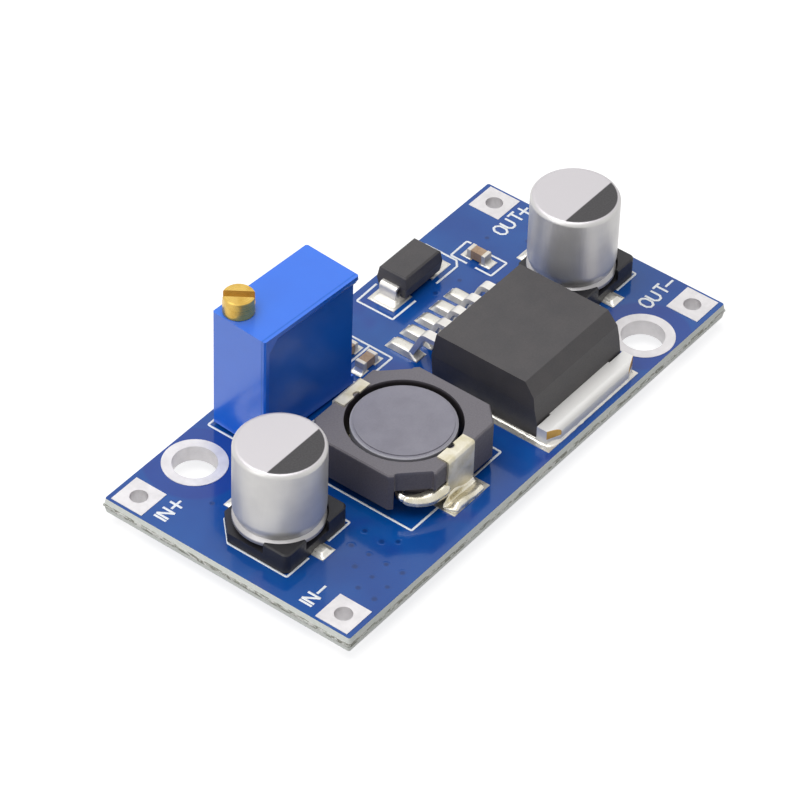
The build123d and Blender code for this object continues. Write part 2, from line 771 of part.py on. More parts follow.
# Regulator body: its side view drawn as a profile, then narrowed towards top and bottom
with BuildPart() as regulator_body:
    with BuildSketch(
        Plane(origin=(regulator_x, 0, seat_z), x_dir=(0, 1, 0), z_dir=(1, 0, 0))
    ):
        with BuildLine():
            Polyline(
                (body_back_y - body_side_draft, 0),
                (body_back_y, body_parting),
                (body_back_top_y, body_top),
                (body_slope_y, body_top),
                (body_nose_y, body_nose_z),
                (body_front_y, tab_thick),
                (body_front_y, 0),
                close=True,
            )
        make_face()
        slope_corners = vertices().group_by(Axis.Z)[-1].sort_by(Axis.Y)
        fillet(slope_corners[0], body_side_draft * 2)
    extrude(amount=body_width / 2, both=True)
    with BuildSketch(
        Plane(origin=(regulator_x, body_back_y, seat_z), x_dir=(1, 0, 0), z_dir=(0, -1, 0))
    ):
        with BuildLine():
            Polyline(
                (-body_width / 2 + body_side_draft, 0),
                (-body_width / 2, body_parting),
                (-body_width / 2 + body_side_draft, body_top),
                (body_width / 2 - body_side_draft, body_top),
                (body_width / 2, body_parting),
                (body_width / 2 - body_side_draft, 0),
                close=True,
            )
        make_face()
    extrude(amount=body_back_y - body_front_y, mode=Mode.INTERSECT)
    add(regulator_tab.part, mode=Mode.SUBTRACT)
    add(regulator_leads.part, mode=Mode.SUBTRACT)
regulator_body.part.label = "regulator_body"
export_step(regulator_body.part, "parts/regulator_body.step")

# Diode leads: each comes out at the parting line, runs down the end and folds under the body
with BuildPart() as diode_leads:
    for outward in (-1, 1):
        with BuildSketch(
            Plane(origin=(diode_x, diode_y, seat_z), x_dir=(1, 0, 0), z_dir=(0, -1, 0))
        ):
            lead_end = outward * (diode_length / 2 + diode_lead_reach)
            with BuildLine():
                FilletPolyline(
                    (outward * (diode_length / 2 - diode_lead_foot / 2), diode_parting),
                    (lead_end, diode_parting),
                    (lead_end, diode_lead_thick / 2),
                    (lead_end - outward * diode_lead_foot, diode_lead_thick / 2),
                    radius=diode_lead_thick,
                )
            trace(line_width=diode_lead_thick)
        extrude(amount=diode_lead_width / 2, both=True)
diode_leads.part.label = "diode_leads"
export_step(diode_leads.part, "parts/diode_leads.step")

# Diode body: drafted both ways from its parting line
with BuildPart() as diode_body:
    for height in (diode_top, diode_gap + diode_lead_thick):
        with BuildSketch(Plane(origin=(diode_x, diode_y, seat_z + diode_parting))):
            Rectangle(diode_length, diode_width)
        extrude(amount=height - diode_parting, taper=diode_draft)
    chamfer(diode_body.edges().group_by(Axis.Z)[-1], diode_edge)
    add(diode_leads.part, mode=Mode.SUBTRACT)
diode_body.part.label = "diode_body"
export_step(diode_body.part, "parts/diode_body.step")

# Can capacitors: aluminium can with a crimped waist, moulded base and two flat terminals
base_half = base_side / 2
for side, capacitor_x in (("input", input_capacitor_x), ("output", output_capacitor_x)):
    capacitor_plane = Plane(origin=(capacitor_x, capacitor_y, seat_z))

    with BuildPart() as capacitor_can:
        with BuildSketch(
            Plane(origin=capacitor_plane.origin, x_dir=(1, 0, 0), z_dir=(0, -1, 0))
        ):
            with BuildLine():
                FilletPolyline(
                    (0, base_slab),
                    (can_r - can_foot_inset, base_slab),
                    (can_r, base_slab + can_foot_inset),
                    (can_r, can_lip_z),
                    (can_r - can_neck_depth, can_neck_z),
                    (can_r, can_shoulder_z),
                    (can_r, can_top),
                    (0, can_top),
                    radius=[can_crimp_r, can_crimp_r, can_crimp_r, can_crimp_r, can_shoulder_r, can_edge],
                )
                Line((0, can_top), (0, base_slab))
            make_face()
        revolve(axis=Axis(capacitor_plane.origin, (0, 0, 1)))
    capacitor_can.part.label = f"{side}_capacitor_can"
    export_step(capacitor_can.part, f"parts/{side}_capacitor_can.step")

    with BuildPart() as capacitor_terminals:
        with BuildSketch(capacitor_plane):
            terminal_length = base_half + cap_terminal_reach - cap_terminal_inner
            terminal_middle = base_half + cap_terminal_reach + cap_terminal_inner
            with GridLocations(1, terminal_middle, 1, 2):
                Rectangle(cap_terminal_width, terminal_length)
        extrude(amount=cap_terminal_thick)
    capacitor_terminals.part.label = f"{side}_capacitor_terminals"
    export_step(capacitor_terminals.part, f"parts/{side}_capacitor_terminals.step")

    with BuildPart() as capacitor_base:
        with BuildSketch(capacitor_plane):
            Rectangle(base_side, base_side)
            chamfer(vertices().group_by(Axis.Y)[-1], base_chamfer)
            fillet(vertices().group_by(Axis.Y)[0], base_round)
        extrude(amount=base_post)
        chamfer(capacitor_base.edges().group_by(Axis.Z)[-1], base_edge)
        with BuildSketch(capacitor_plane.offset(base_slab)):
            Circle(can_r + base_can_gap)
            Rectangle(base_side - 2 * base_post_length, base_side)
            with Locations((0, base_post_width)):
                Rectangle(base_side, base_side)
        extrude(amount=base_post - base_slab, mode=Mode.SUBTRACT)
        add(capacitor_terminals.part, mode=Mode.SUBTRACT)
    capacitor_base.part.label = f"{side}_capacitor_base"
    export_step(capacitor_base.part, f"parts/{side}_capacitor_base.step")

# Chip parts: a ceramic block with a metal cap over each end
for chip_name, (chip_x, chip_y, chip_turn) in chips.items():
    chip_plane = Plane(origin=(chip_x, chip_y, seat_z)).rotated((0, 0, chip_turn))
    with BuildPart() as chip_body:
        with BuildSketch(chip_plane.offset(chip_skin)):
            Rectangle(chip_length - 2 * chip_skin, chip_width - 2 * chip_skin)
        extrude(amount=chip_height - 2 * chip_skin)
    chip_body.part.label = f"{chip_name}_body"
    export_step(chip_body.part, f"parts/{chip_name}_body.step")

    with BuildPart() as chip_ends:
        with BuildSketch(chip_plane):
            with GridLocations(chip_length - chip_cap, 1, 2, 1):
                Rectangle(chip_cap, chip_width)
        extrude(amount=chip_height)
        chamfer(chip_ends.edges().group_by(Axis.Z)[-1], chip_edge)
        add(chip_body.part, mode=Mode.SUBTRACT)
    chip_ends.part.label = f"{chip_name}_ends"
    export_step(chip_ends.part, f"parts/{chip_name}_ends.step")
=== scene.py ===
import math

import bpy
import numpy as np
from mathutils import Matrix, Vector, noise


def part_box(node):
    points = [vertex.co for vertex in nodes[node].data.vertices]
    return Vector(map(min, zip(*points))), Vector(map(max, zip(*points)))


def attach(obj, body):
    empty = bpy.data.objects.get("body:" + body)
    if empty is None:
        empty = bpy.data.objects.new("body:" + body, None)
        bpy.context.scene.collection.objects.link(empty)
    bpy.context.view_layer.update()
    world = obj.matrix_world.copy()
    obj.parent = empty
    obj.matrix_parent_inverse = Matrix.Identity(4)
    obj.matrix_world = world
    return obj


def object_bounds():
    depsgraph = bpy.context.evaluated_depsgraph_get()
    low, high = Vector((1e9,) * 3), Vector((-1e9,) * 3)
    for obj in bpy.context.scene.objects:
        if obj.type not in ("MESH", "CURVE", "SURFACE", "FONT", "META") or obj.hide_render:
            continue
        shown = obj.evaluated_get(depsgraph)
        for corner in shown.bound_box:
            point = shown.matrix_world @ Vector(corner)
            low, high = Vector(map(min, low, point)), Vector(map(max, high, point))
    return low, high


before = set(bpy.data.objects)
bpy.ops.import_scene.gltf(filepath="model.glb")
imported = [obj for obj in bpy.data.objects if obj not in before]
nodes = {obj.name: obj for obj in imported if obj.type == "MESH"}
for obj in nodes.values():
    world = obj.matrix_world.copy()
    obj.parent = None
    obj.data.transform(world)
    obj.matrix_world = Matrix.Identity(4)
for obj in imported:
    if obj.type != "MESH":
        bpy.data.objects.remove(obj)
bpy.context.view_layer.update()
MM = 0.001

# %% [markdown]
# ## Places that the pieces share
# Sizes are read from the CAD nodes wherever they can be, so that a piece always sits on what carries it.
# Everything is worked out in millimetres and turned into metres when a mesh is made.
# %% Shared places and sizes


def box_mm(node):
    """Lowest and highest corner of a CAD node, in millimetres."""
    low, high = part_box(node)
    return np.array(low) / MM, np.array(high) / MM


def middle(node):
    """Middle of a CAD node's box, in millimetres."""
    return sum(box_mm(node)) / 2


def link_object(name, data):
    """A new object in the scene. It stays at the origin, so its place is in its data."""
    made = bpy.data.objects.new(name, data)
    bpy.context.scene.collection.objects.link(made)
    return made


board_high = box_mm("board")[1]
BOARD_TOP = board_high[2]
LAND_TOP = box_mm("solder_lands")[1][2]
print("board top", round(BOARD_TOP, 3), "land top", round(LAND_TOP, 3))

# %% [markdown]
# ## Small tools for node materials
# A material is a Principled shader with a few nodes in front of it. Each helper here adds one node or a short
# chain of them, so that a material reads as a list of patterns and of what they drive.
# %% Helpers that add nodes


def fill(tree, socket, value):
    """Links another node's output to a socket, or sets a plain value on it."""
    if isinstance(value, bpy.types.NodeSocket):
        tree.links.new(value, socket)
    else:
        socket.default_value = value


def add(tree, kind, settings=None, **sockets):
    """Adds a node and fills its sockets, which are named, or numbered as in i0."""
    node = tree.nodes.new(kind)
    for key, value in (settings or {}).items():
        setattr(node, key, value)
    for key, value in sockets.items():
        numbered = key[0] == "i" and key[1:].isdigit()
        fill(tree, node.inputs[int(key[1:]) if numbered else key.replace("_", " ")], value)
    return node


def math_node(tree, operation, first, *others):
    """Joins values by a Math node, or by a chain of them. A lone value goes through one node."""
    for other in others or (0.0,):
        first = add(tree, "ShaderNodeMath", {"operation": operation}, i0=first, i1=other).outputs[0]
    return first


def times(tree, *values):
    return math_node(tree, "MULTIPLY", *values)


def plus(tree, *values):
    return math_node(tree, "ADD", *values)


def vector_node(tree, operation, first, output=0, **sockets):
    """One Vector Math node's output."""
    node = add(tree, "ShaderNodeVectorMath", {"operation": operation}, i0=first, **sockets)
    return node.outputs[output]


def split_axes(tree, vector):
    return add(tree, "ShaderNodeSeparateXYZ", Vector=vector).outputs


def blend(tree, amount, first, second):
    """Mixes two colours by an amount from 0 to 1."""
    return add(tree, "ShaderNodeMix", {"data_type": "RGBA"}, i0=amount, i6=first, i7=second).outputs[2]


def remap(tree, value, low, high, new_low=0.0, new_high=1.0, kind="LINEAR"):
    """Map Range, clamped."""
    limits = {"i1": low, "i2": high, "i3": new_low, "i4": new_high}
    return add(tree, "ShaderNodeMapRange", {"interpolation_type": kind}, Value=value, **limits).outputs[0]


print("node helpers ready")

# %% [markdown]
# Every pattern starts from Object coordinates, because they stay with the piece when it moves. A pattern of
# noise breaks a flat colour into two close tones, and the same noise can vary the gloss and the relief.
# %% Helpers that make patterns


def tone(red, green, blue):
    """A screen colour, 0 to 255 each, as the linear colour that a shader wants."""
    values = [v / 255 for v in (red, green, blue)]
    return [v / 12.92 if v <= 0.04045 else ((v + 0.055) / 1.055) ** 2.4 for v in values] + [1.0]


def start_material(name, colour, roughness, metallic=0.0, **more):
    """A new material with its plain values, which patterns then vary. Returns its tree and shader too."""
    material = bpy.data.materials.new(name)
    material.use_nodes = True
    tree = material.node_tree
    shader = tree.nodes["Principled BSDF"]
    plain = {"Base_Color": colour, "Roughness": roughness, "Metallic": metallic, **more}
    for socket, value in plain.items():
        shader.inputs[socket.replace("_", " ")].default_value = value
    return material, tree, shader


def feed(tree, shader, **patterns):
    """Links patterns to the shader's sockets."""
    for socket, pattern in patterns.items():
        tree.links.new(pattern, shader.inputs[socket.replace("_", " ")])


def coordinates(tree, centre=(0, 0, 0), turn=0.0):
    """Object coordinates in metres, measured from a centre in millimetres and turned about Z."""
    source = add(tree, "ShaderNodeTexCoord").outputs["Object"]
    moved = vector_node(tree, "SUBTRACT", source, i1=tuple(v * MM for v in centre))
    if turn:
        about_z = {"rotation_type": "Z_AXIS"}
        moved = add(tree, "ShaderNodeVectorRotate", about_z, Vector=moved, Angle=-turn).outputs[0]
    return moved


def flattened(tree, place):
    return vector_node(tree, "MULTIPLY", place, i1=(1, 1, 0))


def from_axis(tree, place):
    """Distance from the Z axis through the centre of the coordinates."""
    return vector_node(tree, "LENGTH", flattened(tree, place), "Value")


def speckle(tree, place, size_mm, detail=3.0, stretch=(1, 1, 1), roughness=0.55):
    """A noise pattern whose lumps are about size_mm across. Stretch above 1 draws it out along an axis."""
    scaled = vector_node(tree, "MULTIPLY", place, i1=tuple(1 / s for s in stretch))
    look = {"Scale": 1 / (size_mm * MM), "Detail": detail, "Roughness": roughness}
    return add(tree, "ShaderNodeTexNoise", Vector=scaled, **look).outputs["Fac"]


def two_tone(tree, pattern, low, high, first, second):
    """The first tone where the pattern is below low, the second where it is above high."""
    return blend(tree, remap(tree, pattern, low, high), first, second)


def bump(tree, shader, height, depth_mm):
    """Feeds a height pattern to the shader's normal."""
    node = add(tree, "ShaderNodeBump", Height=height, Distance=depth_mm * MM, Strength=1.0)
    feed(tree, shader, Normal=node.outputs[0])


def vary_roughness(tree, shader, pattern, low, high):
    """Roughness that wanders between two values with a pattern."""
    feed(tree, shader, Roughness=remap(tree, pattern, 0.3, 0.7, low, high))


materials = {}
print("pattern helpers ready")

# %% [markdown]
# ## The board's blue mask and its snapped edge
# A real board is pale glass fibre under a thin coat of blue solder mask. Boards are made many to a panel,
# with a groove cut from both sides between them, and snapped apart. So the rim has a smooth slope above,
# another below, and a narrow torn strip between them. The mask stops where the slope starts. One material
# can do all of it: it looks at the height of the point, in the object's own coordinates. Round the mounting
# holes the copper under the mask is cut back, and there the mask looks a little more purple.
# %% Mask colour
RING_R = 2.33
CLEAR_FROM, CLEAR_TO = RING_R + 1.1, RING_R + 1.4
ring_high = box_mm("mounting_rings")[1]
hole_place = (-(ring_high[0] - RING_R), ring_high[1] - RING_R, 0)


def ring_clearance(tree, place):
    """1 round both mounting rings. The second hole is across the board's middle from the first."""
    flat = flattened(tree, place)
    centres = [tuple(way * v * MM for v in hole_place) for way in (1, -1)]
    gaps = [vector_node(tree, "DISTANCE", flat, "Value", i1=centre) for centre in centres]
    return remap(tree, math_node(tree, "MINIMUM", *gaps), CLEAR_TO * MM, CLEAR_FROM * MM)


def mask_colour(tree, place):
    """Blue mask in soft clouds, with fainter purple ones. The vias use it too, so that their rims vanish."""
    drift = speckle(tree, place, 6.0, detail=2.0)
    patches = speckle(tree, place, 3.2, detail=1.0)
    mask = two_tone(tree, drift, 0.35, 0.65, tone(5, 70, 152), tone(12, 84, 164))
    clearance = times(tree, ring_clearance(tree, place), 0.5)
    purple = math_node(tree, "MAXIMUM", remap(tree, patches, 0.56, 0.74, 0.0, 0.45), clearance)
    return blend(tree, purple, mask, tone(30, 48, 142))


print("mounting holes at", [round(v, 2) for v in hole_place[:2]], "and across from it")

# %% Board material
SCORE_DEPTH, SCORE_BLUR = 0.45, 0.05
MASK_EDGE = 0.012


def board_material():
    material, tree, shader = start_material("blue_mask", tone(18, 66, 150), 0.14, Coat_Weight=0.2)
    place = coordinates(tree)
    half = BOARD_TOP / 2 * MM
    from_middle = math_node(tree, "SUBTRACT", split_axes(tree, place)["Z"], half)
    distance = math_node(tree, "ABSOLUTE", from_middle)
    is_rim = math_node(tree, "LESS_THAN", distance, half - MASK_EDGE * MM)
    is_torn = remap(tree, distance, half - (SCORE_DEPTH - SCORE_BLUR) * MM, half - SCORE_DEPTH * MM)
    grain = speckle(tree, place, 0.25, detail=4.0)
    waves = speckle(tree, place, 2.4, detail=2.0)
    fibres = speckle(tree, place, 0.1, detail=5.0, stretch=(3, 3, 0.6))
    tears = speckle(tree, place, 0.5, detail=4.0, stretch=(1.6, 1.6, 0.5))
    smooth_rim = two_tone(tree, fibres, 0.3, 0.7, tone(250, 252, 248), tone(232, 238, 230))
    torn_rim = two_tone(tree, tears, 0.44, 0.56, tone(150, 150, 138), tone(255, 255, 250))
    rim = blend(tree, is_torn, smooth_rim, torn_rim)
    gloss = remap(tree, grain, 0.3, 0.7, 0.11, 0.17)
    feed(
        tree,
        shader,
        Base_Color=blend(tree, is_rim, mask_colour(tree, place), rim),
        Roughness=plus(tree, gloss, times(tree, is_rim, 0.5)),
    )
    relief = times(tree, plus(tree, fibres, tears), is_torn)
    flow = plus(tree, waves, times(tree, grain, 0.03))
    bump(tree, shader, plus(tree, times(tree, flow, 0.22), relief), 0.06)
    return material


materials["board"] = board_material()
print("board material ready")

# %% [markdown]
# ## Tin and solder
# Bare copper would tarnish, so pads are coated with tin and joints with solder. Both are pale metals. A pad
# is flat and slightly matte; a joint is brighter, and freezes with a faint ripple.
# %% Tin and solder materials


def metal_material(name, colour, rough, spots, dent_mm=0.01, tint=None, metallic=1.0):
    """A pale metal with cloudy tone, wandering roughness and a fine dented surface."""
    material, tree, shader = start_material(name, colour, rough, metallic)
    place = coordinates(tree)
    cloud = speckle(tree, place, spots)
    fine = speckle(tree, place, spots / 6, detail=2.0)
    second = tint or [v * 0.9 for v in colour[:3]] + [1.0]
    feed(tree, shader, Base_Color=two_tone(tree, cloud, 0.38, 0.66, colour, second))
    vary_roughness(tree, shader, fine, rough * 0.8, rough * 1.25)
    bump(tree, shader, plus(tree, cloud, times(tree, fine, 0.25)), dent_mm)
    return material


materials["tin"] = metal_material("tinned_pad", tone(226, 223, 224), 0.42, 0.9, 0.003, metallic=0.6)
materials["solder"] = metal_material("bright_solder", tone(228, 225, 217), 0.34, 0.9, 0.005, metallic=0.8)
materials["lead"] = metal_material("tinned_lead", tone(238, 235, 230), 0.36, 0.9, 0.0, metallic=0.7)
materials["cap_end"] = metal_material("chip_end_tin", tone(222, 216, 206), 0.46, 0.5, 0.003, metallic=0.5)
materials["clip"] = metal_material(
    "dipped_clip", tone(232, 226, 208), 0.36, 0.9, 0.003, tone(214, 205, 176), metallic=0.6
)
materials["dip"] = metal_material(
    "dipped_solder", tone(234, 229, 215), 0.3, 1.4, 0.0015, tone(206, 198, 172), metallic=0.8
)
print("metal materials:", sorted(materials))

# %% [markdown]
# ## The regulator's tab
# The tab is punched from copper sheet and then plated, so its faces are smooth white tin. Its front corners
# were sheared off after plating, and there the bare copper shows on the upper half of the cut. The cut is
# found as a plane across each corner, mirrored about the tab's middle.
# %% Tab material
tab_low, tab_high = box_mm("regulator_tab")
TAB_X = middle("regulator_tab")[0]
TAB_SIDE = 0.06
CUT_NORMAL = (0.394, -0.919)
CUT_DEEP, BARE_DEEP, BARE_LIFT = 0.45, 0.6, 0.55
CUT_PLACE = (tab_high[0] - TAB_X - TAB_SIDE, tab_low[1] + CUT_DEEP)


def tab_material():
    material, tree, shader = start_material("plated_tab", tone(240, 239, 237), 0.4, 0.25)
    place = coordinates(tree, (TAB_X, 0, 0))
    axes = split_axes(tree, place)
    across = times(tree, math_node(tree, "ABSOLUTE", axes["X"]), CUT_NORMAL[0])
    reach = plus(tree, across, times(tree, axes["Y"], CUT_NORMAL[1]))
    on_cut = math_node(tree, "GREATER_THAN", reach, float(np.dot(CUT_PLACE, CUT_NORMAL)) * MM)
    upper = math_node(tree, "GREATER_THAN", axes["Z"], (LAND_TOP + BARE_LIFT) * MM)
    front = math_node(tree, "LESS_THAN", axes["Y"], (tab_low[1] + BARE_DEEP) * MM)
    cloud = speckle(tree, place, 3.0, detail=1.0)
    plating = blend(tree, cloud, tone(244, 243, 241), tone(234, 232, 229))
    shears = speckle(tree, place, 0.12, detail=2.0, stretch=(1, 1, 6))
    copper = blend(tree, shears, tone(228, 182, 80), tone(194, 142, 52))
    feed(tree, shader, Base_Color=blend(tree, times(tree, on_cut, upper, front), plating, copper))
    vary_roughness(tree, shader, cloud, 0.32, 0.4)
    bump(tree, shader, cloud, 0.004)
    return material


materials["tab"] = tab_material()
print("tab material ready, cut through", [round(v, 2) for v in CUT_PLACE])

# %% [markdown]
# ## Trimmer plastics and brass
# The trimmer's case is glossy blue plastic, faintly cloudy. A panel in its front face is sunk, and has the
# mould's satin finish, with less coat; its darker blue is painted shade in the recess under the lip. Its
# screw
# is turned brass: the tool leaves rings round the screw's own axis, so the pattern is centred there. Down in
# the slot the brass is duller.
# %% Moulded plastic and brass


def plastic_material(name, colour, second, rough):
    """Moulded plastic: two close tones in soft clouds, with a fine grain in the bump."""
    material, tree, shader = start_material(name, colour, rough)
    place = coordinates(tree)
    cloud = speckle(tree, place, 2.5, detail=2.0)
    grain = speckle(tree, place, 0.15)
    feed(tree, shader, Base_Color=two_tone(tree, cloud, 0.35, 0.65, colour, second))
    vary_roughness(tree, shader, grain, rough * 0.85, rough * 1.2)
    bump(tree, shader, plus(tree, grain, cloud), 0.006)
    return material


screw_low, screw_high = box_mm("trimmer_screw")
SCREW_R = (screw_high[0] - screw_low[0]) / 2
SLOT_TOP, SLOT_REACH = screw_high[2] - 0.05, SCREW_R - 0.1
BRASS_METALLIC, SLOT_DULLING = 0.92, 0.6


def brass_material():
    material, tree, shader = start_material("turned_brass", tone(226, 196, 116), 0.3, BRASS_METALLIC)
    place = coordinates(tree, (*middle("trimmer_screw")[:2], 0))
    radius = from_axis(tree, place)
    height = split_axes(tree, place)["Z"]
    line = add(tree, "ShaderNodeCombineXYZ", X=plus(tree, radius, height)).outputs[0]
    rings = speckle(tree, line, 0.05, detail=2.0)
    stain = speckle(tree, place, 0.8)
    below_top = math_node(tree, "LESS_THAN", height, SLOT_TOP * MM)
    inside = math_node(tree, "LESS_THAN", radius, SLOT_REACH * MM)
    dulled = times(tree, below_top, inside, SLOT_DULLING)
    feed(
        tree,
        shader,
        Base_Color=two_tone(tree, stain, 0.4, 0.7, tone(224, 188, 100), tone(204, 163, 74)),
        Metallic=math_node(tree, "SUBTRACT", BRASS_METALLIC, dulled),
    )
    vary_roughness(tree, shader, rings, 0.24, 0.38)
    bump(tree, shader, rings, 0.006)
    return material


print("screw radius", round(SCREW_R, 3))

# %% Case material and the trimmer's other finishes
case_high = box_mm("trimmer_housing")[1]
case_centre = middle("trimmer_housing")
CASE_TURN = math.radians(-3.3)
CASE_WIDTH, PANEL_DEEP = 4.83, 0.28
CASE_FRONT = -CASE_WIDTH / 2
PANEL_Y = CASE_FRONT + PANEL_DEEP


def case_material():
    coat = {"Coat_Weight": 0.9, "Coat_Roughness": 0.16}
    material, tree, shader = start_material("trimmer_blue", tone(12, 104, 224), 0.3, **coat)
    place = coordinates(tree, case_centre, CASE_TURN)
    depth = split_axes(tree, place)["Y"]
    behind_face = remap(tree, depth, (PANEL_Y - 0.08) * MM, (PANEL_Y - 0.02) * MM)
    panel = times(tree, behind_face, remap(tree, depth, (PANEL_Y + 0.08) * MM, (PANEL_Y + 0.02) * MM))
    cloud = speckle(tree, place, 2.5, detail=2.0)
    grain = speckle(tree, place, 0.2)
    blue = blend(tree, cloud, tone(10, 108, 236), tone(15, 118, 246))
    # The sunk panel's darker blue is painted shade in the recess under the lip; its lower coat is the real
    # satin finish.
    satin_painted_shade = blend(tree, cloud, tone(10, 98, 206), tone(14, 108, 222))
    feed(
        tree,
        shader,
        Base_Color=blend(tree, panel, blue, satin_painted_shade),
        Coat_Weight=remap(tree, panel, 0.0, 1.0, 0.9, 0.08),
    )
    vary_roughness(tree, shader, grain, 0.28, 0.34)
    bump(tree, shader, cloud, 0.004)
    return material


materials["case"] = case_material()
materials["potting"] = plastic_material("potting_blue", tone(20, 60, 160), tone(26, 70, 170), 0.6)
materials["brass"] = brass_material()
materials["rubber"] = plastic_material("ring_rubber", tone(26, 26, 28), tone(34, 34, 36), 0.6)
materials["rotor"] = plastic_material("rotor_cream", tone(220, 216, 200), tone(208, 204, 188), 0.45)
materials["spring"] = metal_material("spring_bronze", tone(210, 180, 120), 0.25, 0.4)
materials["alumina"] = plastic_material("white_alumina", tone(232, 230, 224), tone(220, 218, 212), 0.7)
print("trimmer materials ready")

# %% [markdown]
# ## Ferrite, moulding compound and chip ceramic
# Ferrite is a dark grey ceramic with a stony grain. Moulding compound is black plastic full of glass powder,
# so it looks finely sanded. Chip ceramics are tan. The coil's drum is ground finer than its shield, and the
# edge of its flange is ground smoother still; the lighter colour round its rim is a painted highlight.
# %% Dark materials
drum_low, drum_high = box_mm("inductor_drum")
coil_axis = middle("inductor_drum")
DRUM_R = (drum_high[0] - drum_low[0]) / 2


def stone_colour(tree, place, grain, grain_share, cloud_mm, first, second):
    """Two tones, driven by a fine grain and by clouds together."""
    cloud = speckle(tree, place, cloud_mm, detail=2.0)
    both = plus(tree, times(tree, grain, grain_share), times(tree, cloud, 1 - grain_share))
    return two_tone(tree, both, 0.4, 0.62, first, second)


def stone_material(name, colour, second, rough, grain_mm, dent_mm):
    """Pressed powder: a fine two-tone grain with pits."""
    material, tree, shader = start_material(name, colour, rough)
    place = coordinates(tree)
    grain = speckle(tree, place, grain_mm, detail=5.0, roughness=0.7)
    feed(tree, shader, Base_Color=stone_colour(tree, place, grain, 0.5, 1.8, colour, second))
    vary_roughness(tree, shader, grain, rough * 0.85, rough * 1.15)
    bump(tree, shader, grain, dent_mm)
    return material


def drum_material():
    material, tree, shader = start_material("ferrite_drum", tone(134, 132, 142), 0.42)
    place = coordinates(tree, (coil_axis[0], coil_axis[1], 0))
    # Round the flange's rim the roughness is lower, and the lighter colour there is a painted highlight.
    wear_and_highlight = remap(tree, from_axis(tree, place), (DRUM_R - 0.13) * MM, (DRUM_R - 0.05) * MM)
    grain = speckle(tree, place, 0.1, detail=5.0, roughness=0.7)
    stone = stone_colour(tree, place, grain, 0.4, 1.6, tone(140, 138, 149), tone(130, 128, 139))
    feed(
        tree,
        shader,
        Base_Color=blend(tree, wear_and_highlight, stone, tone(188, 187, 196)),
        Roughness=remap(tree, wear_and_highlight, 0.0, 1.0, 0.42, 0.24),
    )
    bump(tree, shader, grain, 0.006)
    return material


print("drum radius", round(DRUM_R, 3))

# %% Shield material and the other dark finishes
SHIELD_TOP = box_mm("inductor_shield")[1][2]
BORE_R = 4.13


def shield_material():
    """Ferrite with a pale ground top, and walls in painted shade, a darker tone, darkest near the bore."""
    material, tree, shader = start_material("ferrite_shield", tone(112, 108, 114), 0.46)
    place = coordinates(tree, (coil_axis[0], coil_axis[1], SHIELD_TOP))
    below = remap(tree, split_axes(tree, place)["Z"], -0.04 * MM, -0.3 * MM)
    near_bore = remap(tree, from_axis(tree, place), (BORE_R + 0.12) * MM, (BORE_R + 0.04) * MM)
    grain = speckle(tree, place, 0.12, detail=5.0, roughness=0.7)
    ground = two_tone(tree, grain, 0.4, 0.62, tone(114, 110, 116), tone(104, 101, 107))
    # The walls' darker tones are painted shade, not a different finish.
    painted_wall_shade = two_tone(tree, grain, 0.4, 0.62, tone(94, 89, 93), tone(84, 80, 84))
    outside = blend(tree, below, ground, painted_wall_shade)
    # Near the bore the walls are darker still: painted shade in the gap between drum and shield.
    feed(tree, shader, Base_Color=blend(tree, times(tree, below, near_bore), outside, tone(46, 42, 44)))
    vary_roughness(tree, shader, grain, 0.4, 0.52)
    bump(tree, shader, grain, 0.006)
    return material


materials["ferrite"] = shield_material()
materials["drum"] = drum_material()
materials["compound"] = stone_material(
    "moulding_compound", tone(72, 69, 70), tone(64, 62, 64), 0.5, 0.1, 0.005
)
materials["base"] = plastic_material("base_black", tone(26, 25, 30), tone(31, 30, 35), 0.42)
materials["chip"] = stone_material(
    "chip_ceramic", tone(186, 160, 134), tone(160, 130, 104), 0.45, 0.15, 0.008
)
print("dark materials ready")

# %% [markdown]
# ## Copper winding
# Inside the shield the wire is enamelled copper. Its two ends are stripped and tinned, so past a certain
# distance from the coil's axis the same node turns to solder.
# %% Winding material
TINNED_FROM, TINNED_TO = 4.2, 4.4


def winding_material():
    material, tree, shader = start_material("enamelled_copper", tone(150, 78, 36), 0.22, 1.0)
    place = coordinates(tree, (coil_axis[0], coil_axis[1], 0))
    tinned = remap(tree, from_axis(tree, place), TINNED_FROM * MM, TINNED_TO * MM)
    cloud = speckle(tree, place, 0.5)
    solder = blend(tree, cloud, tone(236, 233, 226), tone(206, 202, 190))
    copper = blend(tree, cloud, tone(150, 78, 36), tone(110, 52, 26))
    feed(tree, shader, Base_Color=blend(tree, tinned, copper, solder))
    bump(tree, shader, cloud, 0.04)
    return material


materials["winding"] = winding_material()
print("winding material ready")

# %% [markdown]
# ## Can capacitors
# The can is drawn aluminium with a satin skin. Its top carries a printed dark segment on the negative side.
# The print is a region of the can's own surface, so it is found from Object coordinates: near the top, on the
# far side of a chord, and inside the rounded rim.
# %% Can material
CAN_TOP, CAN_SHOULDER = 7.7, 2.25
LIP_FROM, LIP_TO = CAN_SHOULDER - CAN_TOP - 0.5, CAN_SHOULDER - CAN_TOP - 1.0
CHORD_FROM, CHORD_TO = -1.06, -1.14
SEGMENT_R, SEGMENT_INNER_R = 3.0, 2.93
CAN_METALLIC, TOP_METALLIC = 0.5, 0.4


